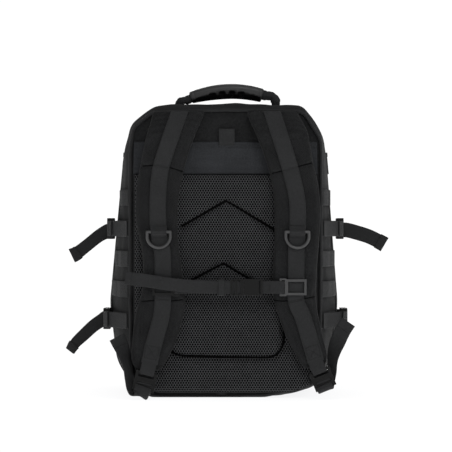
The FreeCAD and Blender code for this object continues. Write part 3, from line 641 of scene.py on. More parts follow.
# ---------------------------------------------------------------- pack body outlines
# Corners (half width, z) from the base centre round one side to the top centre.
EDGE_STEPS = [12, 4, 6, 12, 28, 5, 5, 14]      # points on each run between corners
REAR_RIGHT = [(62, 2.5), (124, 17), (144, 50), (146, 140), (147, 374), (146, 396),
              (119, 438.5), (0, 441)]
REAR_LEFT = [(108, 0.5), (134, 11), (144, 42), (146, 140), (146, 382), (141, 414),
             (112, 437), (0, 441)]
NEAR_REAR_RIGHT = [(84, 0.3), (134, 13), (151, 48), (156, 140), (152, 376), (150, 402),
                   (118, 449.0), (0, 452.5)]
NEAR_REAR_LEFT = [(112, 0.3), (141, 12), (153, 44), (159, 140), (153, 384), (144, 421),
                  (107, 449.0), (0, 452.5)]
ZIP_RIGHT = [(114, 0.2), (147, 14), (166, 50), (177, 140), (159, 372), (152, 404),
             (120, 448.5), (0, 452)]
ZIP_LEFT = [(116, 0.2), (150, 15), (171, 50), (182, 140), (160, 380), (147, 420),
            (111, 448), (0, 452)]
DOOR_RIGHT = [(112, 0.2), (144, 14), (163, 50), (173, 140), (154, 380), (146, 411),
              (115, 444), (0, 450)]
DOOR_LEFT = [(112, 0.2), (145, 14), (165, 50), (176, 140), (155, 382), (144, 414),
             (111, 444), (0, 450)]
FACE_HALF = [(104, 3), (132, 16), (150, 52), (158, 140), (142, 378), (134, 404),
             (106, 430), (0, 433)]


def half_path(corners, radius):
    """Base centre to top centre with eased corners and a fixed count on every run."""
    points = np.array([(0.0, 0.0)] + corners, float)
    path = [points[0]]
    for i, count in enumerate(EDGE_STEPS, 1):
        if i < len(points) - 1:
            arc = corner_arc(points[i - 1], points[i], points[i + 1], radius, 4, limit=0.42)
        else:
            arc = [points[i]]
        start = path[-1]
        path += [start + (arc[0] - start) * k / count for k in range(1, count + 1)]
        path += arc[1:]
    return np.array(path)


def body_ring(right, left, radius):
    """Whole outline, anticlockwise seen from -Y with +X right."""
    mirrored = half_path(left, radius) * vec(-1, 1)
    return np.vstack([half_path(right, radius), mirrored[1:-1][::-1]])


REAR_WALL_Y, FRONT_WALL_Y, DOOR_FACE_Y = -100.0, 50.0, 96.0
REAR_RIM_Y, FRONT_RIM_Y, DOOR_RIM_Y = -10.0, -4.0, 54.0
SECTIONS = [                                   # (y, outline)
    (REAR_WALL_Y, body_ring(REAR_RIGHT, REAR_LEFT, 8)),
    (-80.0, body_ring(NEAR_REAR_RIGHT, NEAR_REAR_LEFT, 9)),
    (REAR_RIM_Y, body_ring(ZIP_RIGHT, ZIP_LEFT, 14)),
    (FRONT_RIM_Y, body_ring(ZIP_RIGHT, ZIP_LEFT, 14)),
    (FRONT_WALL_Y, body_ring(DOOR_RIGHT, DOOR_LEFT, 16)),
    (DOOR_RIM_Y, body_ring(DOOR_RIGHT, DOOR_LEFT, 16)),
    (DOOR_FACE_Y, body_ring(FACE_HALF, FACE_HALF, 20)),
]
RING_POINTS = len(SECTIONS[0][1])


def ring_at(y):
    if y <= SECTIONS[0][0]:
        return SECTIONS[0][1]
    for (ya, a), (yb, b) in zip(SECTIONS, SECTIONS[1:]):
        if y <= yb:
            return a + (b - a) * ((y - ya) / (yb - ya))
    return SECTIONS[-1][1]


def offset_ring(y, offset):
    """Body outline at y, moved outwards."""
    ring = ring_at(y)
    return at_y(ring + ring_normals(ring) * offset, y)


# ---------------------------------------------------------------- fabric shells
def body_shell(name, body, replaces, levels, seed, swell, crown, face_radius=0.0):
    """Wall, gusset, rim and lining as one closed skin; levels run from wall to open rim."""
    thick = 3.0
    wall_y, rim_y = levels[0], levels[-1]
    outward = -1 if wall_y < rim_y else 1
    inset = face_radius * 0.62
    wall = ring_at(wall_y)
    centre = wall.mean(0) * vec(0, 1)
    wall = wall - ring_normals(wall) * inset
    rings = []
    for s in np.linspace(0.0, 1.0, 15)[1:]:
        p = at_y(centre + (wall - centre) * s, wall_y + outward * crown * (1 - s ** 4))
        p[:, 1] += outward * 0.7 * wobble(p, wave=90, seed=seed + 1) * (1 - s ** 6)
        rings.append(p)
    wall_rings = len(rings)
    for y in levels:
        ring = ring_at(y)
        normals = ring_normals(ring)
        p = at_y(ring, y)
        depth = abs(y - wall_y)
        fade = smooth(min(1, depth / 12.0)) * smooth(abs(y - rim_y) / 10.0 + 0.12)
        folds = 1.5 * wobble(p, wave=70, seed=seed) + 0.8 * wobble(p, wave=30, seed=seed + 3)
        belly = swell * math.sin(math.pi * (y - wall_y) / (rim_y - wall_y))
        offset = belly * (0.35 + 0.65 * np.abs(normals[:, 0])) + folds * fade
        offset = np.where(ring[:, 1] < 3.0, np.minimum(offset, 0.0), offset)
        if face_radius:
            offset = offset - inset * (1 - quarter_round(depth / face_radius))
        push(p, normals, offset)
        p[:, 2] = np.maximum(p[:, 2], 0.05)
        rings.append(p)
    outer_rings = len(rings)

    # over the rim, then the lining back to the wall
    rim_normals = ring_normals(rings[-1][:, [0, 2]])
    lining = []
    for share, rise in ((0.5, 0.6), (1.0, 0.0)):
        p = rings[-1].copy()
        push(p, rim_normals, -thick * share)
        p[:, 1] -= outward * rise
        lining.append(p)
    keep_inside = np.maximum if outward < 0 else np.minimum
    for outer in reversed(rings[wall_rings:-1]):
        p = outer.copy()
        push(p, ring_normals(outer[:, [0, 2]]), -thick)
        p[:, 1] = keep_inside(p[:, 1], wall_y - outward * thick)
        lining.append(p)
    inner_wall = lining[-1]
    for s in (0.8, 0.5, 0.2):
        p = inner_wall.copy()
        p[:, 0] *= s
        p[:, 2] = centre[1] + (p[:, 2] - centre[1]) * s
        lining.append(p)

    verts, faces = closed_skin(rings + lining, [0, wall_y + outward * crown, centre[1]],
                               [0, lining[-1][:, 1].mean(), centre[1]])
    obj = make(name, verts, faces, MAT["pack"], body, replaces=replaces)
    first_lining = (outer_rings + 1) * RING_POINTS
    paint(obj, MAT["lining"], [min(f) >= first_lining for f in faces])
    fix_normals(obj)
    return obj


rear = body_shell("rear_body_fabric", "rear_half", ("rear_shell",),
                  [REAR_WALL_Y, -98.6, -96, -92, -88, -84, -80, -74, -67, -60, -53, -46, -39,
                   -32, -26, -20, -15, -12, REAR_RIM_Y], seed=11, swell=2.2, crown=1.2)
front = body_shell("front_body_fabric", "front_half", ("front_shell",),
                   [FRONT_WALL_Y, 49.2, 47, 44, 40, 34, 28, 22, 16, 10, 5, 0, -3, FRONT_RIM_Y],
                   seed=23, swell=3.0, crown=0.0)
body_shell("door_fabric", "organizer_door", ("door_shell",),
           [DOOR_FACE_Y, 95.6, 94.6, 93.2, 91.2, 88.5, 85, 80, 74, 68, 62, 58, 55.5, DOOR_RIM_Y],
           seed=37, swell=1.5, crown=1.5, face_radius=12.0)


# ---------------------------------------------------------------- piping, zips and bindings
def seam_piping():
    """Cord round the rear edge of the body, its join near the top right corner."""
    path = offset_ring(-101.2, 0.2)
    path = np.roll(path, -int(np.argmin(np.hypot(path[:, 0] - 85, path[:, 2] - 440))), axis=0)
    path = np.vstack([path, path[:1]])
    path = resample(path, int(length(path) / 4.0))[:-1]
    verts, faces = tube_geometry(path, 2.4, 10, True, 1 + 0.06 * wobble(path, wave=30, seed=5))
    verts[:, 2] = np.maximum(verts[:, 2], 0.1)
    parts = Parts()
    parts.add(verts, faces, running_uv(len(verts), 0.4))
    parts.make("seam_piping", MAT["binding"], "rear_half", replaces=("edge_piping",),
               slot="webbing")


seam_piping()

ZIP_LOW_Z = 62          # the body zips run over both sides and the top above this height
# name, body, y, offset from the body outline, coil radius, pieces replaced
BODY_COILS = [
    ("main_zip_coil_rear", "rear_half", -8.2, -1.6, 1.25, ("main_zip_rear",)),
    ("main_zip_coil_front", "front_half", -5.8, -1.6, 1.25, ("main_zip_front",)),
    ("organizer_zip_coil_front", "front_half", 51.4, -2.3, 1.1, ("organizer_zip",)),
    ("organizer_zip_coil_door", "organizer_door", 54.6, -3.4, 0.9, ()),
]
for name, body, y, offset, radius, replaced in BODY_COILS:
    high = np.flatnonzero(ring_at(y)[:, 1] > ZIP_LOW_Z)
    parts = Parts()
    parts.coil(offset_ring(y, offset)[high[0]:high[-1] + 1], radius)
    parts.make(name, MAT["zip"], body, replaces=replaced, slot="zip_tape")


def body_band(parts, stations):
    """Band round the body through (y, offset) stations, kept above the floor."""
    rows = [offset_ring(y, offset) for y, offset in stations]
    for row in rows:
        row[:, 2] = np.maximum(row[:, 2], 0.02)
    parts.band(rows, 5.0, 2.0)


# zip tapes: a woven lip on each side of an opening, from the fabric edge to the meeting line
LIP_THICK = 0.9
# name, body, y at the edge, y at the meeting line, offset at each
ZIP_LIPS = [
    ("main_zip_tape_rear", "rear_half", -10.8, -6.9, -1.2, -2.3),
    ("main_zip_tape_front", "front_half", -3.2, -6.9, -1.2, -2.5),
    ("organizer_zip_tape_front", "front_half", 49.0, 52.6, -1.2, -2.3),
    ("organizer_zip_tape_door", "organizer_door", 55.4, 52.7, -1.8, -2.8),
]
for name, body, y0, y1, offset0, offset1 in ZIP_LIPS:
    outer = [(y, offset0 + (offset1 - offset0) * (y - y0) / (y1 - y0))
             for y in np.linspace(y0, y1, 5)]
    parts = Parts()
    body_band(parts, outer + [(y, offset - LIP_THICK) for y, offset in outer[::-1]])
    parts.make(name, MAT["web_dark"], body, slot="zip_tape")

# binding tapes lying on the fabric beside the zips: (y at the edge, far y, offset)
RIM_BINDINGS = [
    ("rear", "rear_half", [(-10.6, -16.0, 0.35)]),
    ("front", "front_half", [(-3.6, 2.0, 1.2), (49.2, 45.0, 0.2)]),
    ("door", "organizer_door", [(54.4, 59.5, 0.9)]),
]
for name, body, tapes in RIM_BINDINGS:
    parts = Parts()
    for y0, y1, offset in tapes:
        body_band(parts, [(y0, 0.0), (y0, offset + 0.5), (y0 + (y1 - y0) * 0.12, offset + 0.8),
                          (y0 + (y1 - y0) * 0.88, offset + 0.8), (y1, offset + 0.5), (y1, 0.0)])
    parts.make("rim_binding_" + name, MAT["binding"], body, slot="webbing")


def base_hinge():
    """Flexible strip of webbing under the two halves."""
    y0, y1, half = -12.5, -1.5, 112
    rows, cols = 12, 60
    plan = [(x, y) for y in np.linspace(y0, y1, rows) for x in np.linspace(-half, half, cols)]
    verts = [(x, y, 0.25 + 0.45 * math.sin(math.pi * (y - y0) / (y1 - y0))) for x, y in plan]
    strip = make("base_hinge_webbing", verts, grid_faces(rows, cols), MAT["web_dark"], None,
                 uv=plan, slot="webbing", replaces=("base_hinge_strip",))
    strip.modifiers.new("t", "SOLIDIFY").thickness = 0.0006
    apply_modifiers(strip)
    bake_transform(strip)


base_hinge()


class Surface:
    """Ray lookups on a finished piece, in drawing millimetres."""

    def __init__(self, obj):
        self.tree = BVHTree.FromPolygons([tuple(p) for p in drawing_coordinates(obj)],
                                         [tuple(p.vertices) for p in obj.data.polygons])

    def hit(self, origin, direction, fallback):
        """First point hit, or the fallback where the ray meets nothing."""
        point = self.tree.ray_cast(Vector(origin), Vector(direction), 600.0)[0]
        return vec(*fallback) if point is None else np.array(point)

    def side(self, y, z, sign):
        return self.hit((sign * 300.0, y, z), (-sign, 0, 0), (sign * 150.0, y, z))

    def front(self, x, z):
        return self.hit((x, 300.0, z), (0, -1, 0), (x, DOOR_FACE_Y, z))

    def top(self, x, y):
        return self.hit((x, y, 600.0), (0, 0, -1), (x, y, 445.0))


REAR_SURFACE, FRONT_SURFACE = Surface(rear), Surface(front)

# ---------------------------------------------------------------- back pad: foam under net
PANEL_Y = -100.25                              # plane the pad and band lie on
PAD_LOW_Z, PAD_TOP_Z = 8.0, 342.0
PAD_WIDTHS = [(8, 104), (18, 128), (44, 138), (140, 140), (340, 140)]      # (z, half width)


def pad_half_width(z):
    return lookup(z, PAD_WIDTHS)


def eased_line(points, radius):
    points = [vec(*p) for p in points]
    out = [points[0]]
    for before, corner, after in zip(points, points[1:], points[2:]):
        out += corner_arc(before, corner, after, radius, 5)
    return out + [points[-1]]


# groove centre lines, (x, z)
GROOVE_BORDER = eased_line([(-88, 334), (-88, 78), (-78, 64.5), (0, 61.5), (76, 61.0), (90, 79),
                            (90, 334)], 12.0)
GROOVE_UPPER = [(-67, 262.5), (-40, 278.2), (-9, 296.4), (1, 301.6), (11, 296.2), (45, 275.6),
                (76, 257.0)]
GROOVE_LOWER = [(-52, 180), (-29, 192.0), (-9, 202.6), (-3, 205.2), (4, 201.4), (24, 189.2),
                (46, 177.0)]
# line, width, depth, samples along it of the dark cord that paints shade in the groove
GROOVES = [(GROOVE_BORDER, 5.2, 9.4, 150), (GROOVE_UPPER, 5.4, 8.8, 50),
           (GROOVE_LOWER, 5.2, 8.6, 50)]


def pad_height(x, z):
    """Height of the net's face above the back panel."""
    edge = np.minimum(pad_half_width(z) - np.abs(x), np.minimum(z - PAD_LOW_Z, 343.0 - z))
    h = 1.4 + 11.3 * quarter_round(edge / 13.0)
    for line, width, depth, _ in GROOVES:
        share = segment_distance(x, z, line) / width
        h = h - np.minimum(depth, h - 1.6) * np.exp(-share ** 2 * 1.1)
    p = np.stack([x, z * 0 - 110, z], -1)
    h = h + 0.35 * wobble(p, wave=46, seed=71) + 0.15 * wobble(p, wave=17, seed=72)
    return np.clip(h, 0.8, 13.4)


def height_solid(name, cols, rows, z_low, z_top, half_width, height, mat, **options):
    """Closed pad on the back panel: height field towards -Y over a symmetric outline."""
    z, share = np.meshgrid(np.linspace(z_low, z_top, rows), np.linspace(-1, 1, cols),
                           indexing="ij")
    x = share * half_width(z)
    near = np.stack([x, PANEL_Y - height(x, z), z], -1).reshape(-1, 3)
    far = np.stack([x, np.full_like(x, PANEL_Y), z], -1).reshape(-1, 3)
    fix_normals(make(name, np.vstack([near, far]), slab_faces(rows, cols), mat, "rear_half",
                     **options))


height_solid("back_pad_foam", 126, 150, PAD_LOW_Z, PAD_TOP_Z, pad_half_width,
             lambda x, z: np.clip(pad_height(x, z) - 1.1, 0.3, 13), MAT["foam"],
             replaces=("back_pad",), slot="air_mesh")


def hexagon_net(pitch, z_low, z_top, half_width, hole_x, hole_z):
    """Honeycomb with shared outer corners. Returns rows (x, z, 1 on a hole rim) and faces."""
    radius = pitch / math.sqrt(3)
    angles = [math.radians(30 + 60 * q) for q in range(6)]
    index, corners, faces = {}, [], []

    def corner(x, z, rim):
        key = (round(x, 2), round(z, 2), rim)
        if key not in index:
            index[key] = len(corners)
            corners.append((x, z, rim))
        return index[key]

    def hexagon(x, z, scale_x, scale_z, rim):
        return [corner(x + radius * scale_x * math.cos(a), z + radius * scale_z * math.sin(a),
                       rim) for a in angles]

    row, z = 0, z_low
    while z < z_top:
        limit = half_width(z)
        reach = int(limit / pitch) + 2
        for i in range(-reach, reach + 1):
            x = i * pitch + 0.5 * pitch * (row % 2)
            if abs(x) > limit:
                continue
            outer = hexagon(x, z, 1, 1, 0)
            inner = hexagon(x, z, hole_x, hole_z, 1)
            faces += [(outer[q], outer[q - 5], inner[q - 5], inner[q]) for q in range(6)]
        z += pitch * 0.866
        row += 1
    return np.array(corners), faces


def back_pad_net():
    """Spacer net over the foam; hole rims dip towards it."""
    hole = 0.84
    corners, faces = hexagon_net(4.0, 9.0, PAD_TOP_Z, lambda z: float(pad_half_width(z)) + 0.2,
                                 hole * 0.92, hole)
    z = np.clip(corners[:, 1], 8.6, 341.6)
    limit = pad_half_width(z) - 0.4
    x = np.clip(corners[:, 0], -limit, limit)
    h = pad_height(x, z) + np.where(corners[:, 2] > 0, -0.5, 0.15)
    make("back_pad_net", np.stack([x, PANEL_Y - h, z], 1), faces, MAT["net"], "rear_half",
         slot="air_mesh")


def back_pad_groove_cord():
    # painted shade: a dark cord along the bottom of each groove stands in for the groove's shadow
    parts = Parts()
    for line, _, _, samples in GROOVES:
        path = resample(np.array([(x, 0.0, z) for x, z in line], float), samples)
        path[:, 1] = PANEL_Y - pad_height(path[:, 0], path[:, 2]) - 0.2
        parts.tube(path, 1.9, 10, swell=1 + 0.1 * wobble(path, wave=9, seed=31), uv_step=0.3)
    parts.make("back_pad_groove_cord", MAT["foam"], "rear_half", slot="air_mesh")


def back_pad_edge_tape():
    """Rolled tape down one side of the pad, along its base and up the other."""
    side_z = np.concatenate([np.linspace(341, 140, 50), np.linspace(136, 44, 24),
                             np.linspace(40, 18, 8), np.linspace(16, 9, 4)])
    side = [(float(pad_half_width(z)) - 1.0, z) for z in side_z]
    edge = [(-x, z) for x, z in side]
    edge += [(x, 8.4) for x in np.linspace(-100, 100, 44)]
    edge += side[::-1]
    path = resample(np.array([(x, -102.1, z) for x, z in edge]), 260)
    parts = Parts()
    parts.tube(path, 1.9, 8, swell=1 + 0.08 * wobble(path, wave=22, seed=5), uv_step=0.4)
    parts.make("back_pad_edge_tape", MAT["binding"], "rear_half", slot="webbing")


back_pad_net()
back_pad_groove_cord()
back_pad_edge_tape()

# ---------------------------------------------------------------- upper band and loop
BAND_LOW_Z, BAND_TOP_Z = 342.0, 392.5
BAND_STITCH_Z = (387.6, 384.4)


def band_half_width(z):
    return lookup(z, [(342, 141.5), (392, 140.5)])


def band_height(x, z):
    h = 1.6 + 2.0 * quarter_round(np.minimum(z - BAND_LOW_Z, BAND_TOP_Z - z) / 4.0)
    for stitch_z in BAND_STITCH_Z:
        h = h - 0.8 * np.exp(-((z - stitch_z) / 1.3) ** 2)
    p = np.stack([x, z * 0, z], -1)
    h = h + 0.28 * wobble(p, wave=60, seed=81) + 0.12 * wobble(p, wave=21, seed=82)
    for dent_x in (-47.0, 47.0, 1.0, -92.0, 92.0):
        h = h - 0.32 * np.exp(-((x - dent_x) / 2.6) ** 2) * (z < 384)
    for dent_z in (351.0, 366.5):
        h = h - 0.3 * np.exp(-((z - dent_z) / 2.0) ** 2)
    return np.clip(h, 0.6, 4.05)


height_solid("pocket_band_fabric", 190, 44, BAND_LOW_Z, BAND_TOP_Z, band_half_width, band_height,
             MAT["band"], replaces=("pocket_band",), slot="band_fabric")
parts = Parts()
for stitch_z in BAND_STITCH_Z:
    x = np.linspace(-138, 138, 160)
    z = np.full_like(x, stitch_z)
    parts.stitches(np.stack([x, PANEL_Y - band_height(x, z), z], 1), -Y_AXIS,
                   pitch=3.9, dash=3.0, width=1.0, height=0.5)
parts.make("pocket_band_stitches", MAT["thread"], "rear_half", slot="webbing")

# small loop standing above the band: (y, z) of its path at x = 2
PULL_TAB = [(-101.2, 386), (-105.2, 388.5), (-105.9, 396), (-106.3, 406), (-106.0, 411.2),
            (-104.9, 411.8), (-103.9, 410.4), (-103.6, 400), (-103.4, 388)]
parts = Parts()
parts.ribbon(spline([(2, y, z) for y, z in PULL_TAB], 60), X_AXIS, 24.4, 1.1)
parts.make("pull_tab_webbing", MAT["web"], "rear_half", replaces=("pull_tab",), slot="webbing")


def anchor_tabs():
    """Four-cornered tabs at the two lower corners of the rear panel."""
    low_in, low_out, top_out, top_in = (vec(112, 17.5), vec(132, 17.5), vec(137, 39.5),
                                        vec(118, 29.8))
    cells = 8
    parts = Parts()
    for sign in (-1, 1):
        plan = []
        for i in range(cells + 1):
            for k in range(cells + 1):
                u, v = k / cells, i / cells
                p = (low_in * (1 - u) + low_out * u) * (1 - v) + (top_in * (1 - u) + top_out * u) * v
                plan.append((sign * p[0], p[1]))
        plan = np.array(plan)
        near = at_y(plan, -101.9)
        near[:, 1] -= 0.25 * wobble(at_y(plan, 0), wave=14, seed=3)
        parts.add(np.vstack([near, at_y(plan, -100.35)]), slab_faces(cells + 1, cells + 1),
                  np.vstack([plan, plan]))
    fix_normals(parts.make("anchor_tab_webbing", MAT["web_dark"], "rear_half",
                           replaces=("lower_anchor_tabs",), slot="webbing"))


anchor_tabs()

# ---------------------------------------------------------------- shoulder pads
# (x, z) down the inner and the outer edge
PAD_OUTLINES = {
    "left": (
        [(-31, 436), (-40.5, 414.5), (-51.5, 383.7), (-60.3, 348.5), (-67.8, 308.9),
         (-70.4, 264.9), (-66.9, 225.3), (-62.5, 185.7), (-58.5, 150.5), (-62.5, 124.1),
         (-71.3, 93.3), (-84.5, 62.5), (-99.9, 40.0)],
        [(-112, 436), (-124.1, 392.5), (-130.7, 357.3), (-137.3, 322.1), (-139.5, 286.9),
         (-137.3, 260.5), (-130.7, 225.3), (-128.4, 198.9), (-130.6, 160.0), (-138.6, 134.0),
         (-141.6, 110.4), (-143.6, 81.4), (-145.4, 58.1), (-136, 42.0)]),
    "right": (
        [(32, 436), (43.1, 410.1), (54.1, 379.3), (62.9, 348.5), (69.5, 317.7), (71.7, 278.1),
         (71.7, 234.1), (69.5, 190.1), (70.8, 154.9), (78.3, 128.5), (89.3, 97.7),
         (104.7, 66.9), (121.0, 42.0)],
        [(112, 436), (126.7, 410.1), (135.5, 361.7), (144.3, 322.1), (147.8, 282.5),
         (145.2, 234.1), (142.1, 190.1), (140.8, 159.3), (143.4, 132.9), (148.7, 102.1),
         (153.0, 80.0), (157.0, 62.0), (152.0, 50.0)]),
}
# (z, y) of the face next to the pack and of the face next to the wearer
PACK_FACE = [(36, -118), (400, -118), (417, -111), (429, -104.6), (437, -104.2)]
WEARER_FACE = [(36, -131), (396, -131), (412, -127), (428, -120), (437, -116)]
PAD_ROWS = 96
PAD_TOP = 439.5
PAD_END_Z = {"left": (42.0, 44.0), "right": (44.0, 51.0)}      # lowest z of inner, outer edge
# (z, width) of the plain strip along the outer lower edge
STRIP_WIDTHS = {"left": [(44, 12), (60, 15), (110, 15), (152, 12), (165, 0)],
                "right": [(44, 9), (60, 12), (110, 12), (158, 9), (172, 0)]}
# (x, z) of the sewn lines across each pad
UPPER_SEAMS = {"left": [(-127, 354), (-108, 355.5), (-83, 351.5), (-64, 345.5)],
               "right": [(70, 342.5), (89, 347.5), (109, 353), (132, 359)]}
LOWER_SEAMS = {"left": [(-129, 148), (-108, 149.8), (-84, 148.6), (-64, 151)],
               "right": [(73, 150.0), (88, 148.6), (110, 150.6), (137, 155.6)]}


def pack_face_y(z):
    return lookup(z, PACK_FACE)


def wearer_face_y(z):
    return lookup(z, WEARER_FACE)


def pad_edges(side, z):
    """x of the inner and outer edge, corners eased by a weighted mean over z."""
    zs = np.asarray(z, float)
    room = np.clip(np.minimum(zs - 44, 440 - zs) / 12.0, 0, 1)
    weights = ((-12, 1), (-6, 2), (0, 3), (6, 2), (12, 1))
    sums = [0.0, 0.0]
    for dz, weight in weights:
        near = np.clip(zs + dz * room, 36, 441)
        for i, edge in enumerate(PAD_OUTLINES[side]):
            sums[i] = sums[i] + weight * lookup(near, [(ez, ex) for ex, ez in reversed(edge)])
    total = sum(weight for _, weight in weights)
    return sums[0] / total, sums[1] / total


def pad_geometry(side):
    """Closed pad body with a rounded section, a little thinner than its final size."""
    shrink, thin = 0.6, 0.84
    half_size = vec(34.0, 6.5)                 # size at which the section is evenly sampled
    inner_end, outer_end = PAD_END_Z[side]
    inner_z = np.linspace(PAD_TOP, inner_end, PAD_ROWS)
    outer_z = np.linspace(PAD_TOP, outer_end, PAD_ROWS)
    inner_x = pad_edges(side, inner_z)[0]
    outer_x = pad_edges(side, outer_z)[1]
    section = []
    for k in range(240):
        a = 2 * math.pi * k / 240
        section.append((signed_power(math.cos(a), 0.35), signed_power(math.sin(a), 0.62)))
    section = resample(np.array(section + section[:1]) * half_size, 41)[:-1] / half_size
    verts = []
    for i in range(PAD_ROWS):
        inner, outer = vec(inner_x[i], inner_z[i]), vec(outer_x[i], outer_z[i])
        centre = (inner + outer) / 2
        half = (outer - inner) / 2
        reach = np.linalg.norm(half)
        half = half * ((reach - shrink) / reach)
        end = min(1.0, min(i + 3, PAD_ROWS - 1 - i) / 3.0 + 0.25)
        for u, v in section:
            x, z = centre + half * u
            pack, wearer = pack_face_y(z), wearer_face_y(z)
            verts.append((x, (pack + wearer) / 2 - (pack - wearer) / 2 * thin * v * end, z))
    return np.array(verts), skin_faces(PAD_ROWS, len(section), True)


def pad_freedom(p):
    """How far the cloth may travel: less near both ends of the pad."""
    z = p[:, 2]
    return np.clip((z - 36) / 30.0, 0.35, 1) * np.clip((444 - z) / 22.0, 0.1, 1)


def cloth_swell(obj, travel, freedom):
    """Blow up as cloth under inner pressure, limit the travel (mm), apply."""
    last_frame = 20
    start = coordinates(obj.data)
    cloth = obj.modifiers.new("cloth", "CLOTH")
    settings = cloth.settings
    settings.quality = 6
    settings.mass = 0.3
    settings.use_pressure = True
    settings.uniform_pressure_force = 4.0
    settings.tension_stiffness = 18
    settings.compression_stiffness = 18
    settings.shear_stiffness = 6
    settings.bending_stiffness = 0.6
    settings.effector_weights.gravity = 0.0
    cloth.collision_settings.use_collision = False
    cloth.collision_settings.use_self_collision = False
    cloth.point_cache.frame_start = 1
    cloth.point_cache.frame_end = last_frame
    for frame in range(1, last_frame + 1):
        scene.frame_set(frame)
    depsgraph = bpy.context.evaluated_depsgraph_get()
    swollen = bpy.data.meshes.new_from_object(obj.evaluated_get(depsgraph))
    move = (coordinates(swollen) - start) * vec(0.25, 1.0, 0.25)
    size = np.linalg.norm(move, axis=1, keepdims=True)
    cap = travel / 1000.0
    move = move * (cap * np.tanh(size / cap) / np.where(size < 1e-9, 1, size))
    start = start + move * freedom(start * 1000.0 - vec(0, DRAWING_Y, 0))[:, None]
    obj.modifiers.clear()
    scene.frame_set(1)
    bpy.data.meshes.remove(swollen)
    obj.data.vertices.foreach_set("co", start.ravel())
    obj.data.update()


def subdivide(obj):
    modifier = obj.modifiers.new("s", "SUBSURF")
    modifier.levels = modifier.render_levels = 1
    apply_modifiers(obj)
    shade_smooth(obj.data)


def strip_x(side, z):
    """Inner edge of the plain strip."""
    outer = pad_edges(side, z)[1]
    return outer - np.sign(outer) * lookup(z, STRIP_WIDTHS[side])


def press_seams(obj, side):
    """Press the sewn lines and soft folds into the wearer's face."""
    v = drawing_coordinates(obj)
    x, z = v[:, 0], v[:, 2]
    pack, wearer = pack_face_y(z), wearer_face_y(z)
    on_face = np.clip((v[:, 1] - (pack + wearer) / 2) / ((wearer - pack) / 2), 0, 1)
    press = 3.4 * np.exp(-(segment_distance(x, z, UPPER_SEAMS[side]) / 3.0) ** 2)
    press += 1.9 * np.exp(-(segment_distance(x, z, LOWER_SEAMS[side]) / 2.6) ** 2)
    low = z < 168
    edge = strip_x(side, z)
    press += np.where(low, 1.3 * np.exp(-((x - edge) / 1.8) ** 2), 0)
    on_strip = np.where(low & (np.sign(x) * (x - edge) > 0), 1.0, 0.0)
    press += 1.1 * smooth(on_strip * np.abs(x - edge) / 6.0)
    flat = v * vec(1, 0, 1)
    fold = 0.6 * wobble(flat, wave=34, seed=91 if side == "left" else 92)
    fold = fold + 0.3 * wobble(flat, wave=13, seed=93)
    v[:, 1] += on_face * (press + 0.5 * fold)
    # held lower round z = 188
    near = np.clip(1 - (np.abs(z - 188.0) - 34.0) / 10.0, 0, 1)
    v[:, 1] = np.clip(v[:, 1], wearer + 0.7 * near - 0.6, pack + 0.2)
    v[:, 1] += DRAWING_Y
    obj.data.vertices.foreach_set("co", (v / 1000.0).ravel())
    obj.data.update()


pad_surfaces = {}
for side in ("left", "right"):
    verts, faces = pad_geometry(side)
    pad = fix_normals(make("shoulder_pad_fabric_" + side, verts, faces, MAT["pad"], None))
    cloth_swell(pad, travel=3.2, freedom=pad_freedom)
    subdivide(pad)
    press_seams(pad, side)
    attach(pad, "strap_" + side)
    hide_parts("shoulder_pad_" + side)
    pad_surfaces[side] = Surface(pad)


def on_pad(side, x, z):
    """Points of the wearer's face over a line of x and z."""
    return np.array([pad_surfaces[side].hit((px, -300.0, pz), (0, 1, 0),
                                            (px, float(wearer_face_y(pz)), pz))
                     for px, pz in zip(x, z)])


def seam_on_pad(side, line):
    path = resample(np.array(line, float), 60)
    return on_pad(side, path[:, 0], path[:, 1])


for side in ("left", "right"):
    parts = Parts()
    parts.stitches(seam_on_pad(side, UPPER_SEAMS[side]), -Y_AXIS,
                   pitch=3.2, dash=2.9, width=1.3, height=0.5, lift=0.05)
    strip_z = np.linspace(48, 156, 60)
    edge_z = np.linspace(170, 430, 120)
    inner = pad_edges(side, edge_z)[0]
    for x, z in ((strip_x(side, strip_z), strip_z), (inner + np.sign(inner) * 5.0, edge_z)):
        parts.stitches(on_pad(side, x, z), -Y_AXIS,
                       pitch=3.4, dash=2.7, width=0.8, height=0.35, lift=0.05)
    parts.make("shoulder_pad_stitches_" + side, MAT["thread"], "strap_" + side, slot="webbing")
    # painted shade: a dark cord at the bottom of each seam across the pad stands in for the seam's
    # shadow
    parts = Parts()
    for line in (UPPER_SEAMS[side], LOWER_SEAMS[side]):
        path = seam_on_pad(side, line)[1:-1] + vec(0, 0.15, 0)
        parts.tube(path, 0.85, 8, swell=1 + 0.12 * wobble(path, wave=8, seed=33), uv_step=0.3)
    parts.make("shoulder_pad_seam_" + side, MAT["foam"], "strap_" + side, slot="webbing")

# ---------------------------------------------------------------- webbing down each strap
# (x, z) of the centre line
STRAP_LINES = {
    "left": [(-68.4, 442), (-70.4, 436), (-81.5, 403), (-92.4, 370.5), (-99.4, 344.1),
             (-102.5, 308.9), (-102.3, 268), (-99.5, 240), (-95.6, 222), (-95.0, 190),
             (-95.0, 150), (-97.7, 124.1), (-109.6, 80.1), (-115.5, 54.0)],
    "right": [(69.8, 442), (71.7, 436), (82.0, 403), (92.4, 370.5), (99.9, 344.1),
              (108.7, 304.5), (110.0, 268), (108.5, 240), (107.6, 222), (107.5, 190),
              (107.5, 150), (117.9, 124.1), (131.0, 80.1), (137.5, 57.0)],
}
# ladder locks: centre x and z, turn about Y in degrees
LOCK_Y = -130.0
LOCKS = {"left": (-121.9, 27.0, 13.0), "right": (147.8, 30.5, -22.0)}
LOCK_TOP = 13.0                                # lock centre to the reference of the top loop
D_RING_X = {"left": -101.0, "right": 109.3}
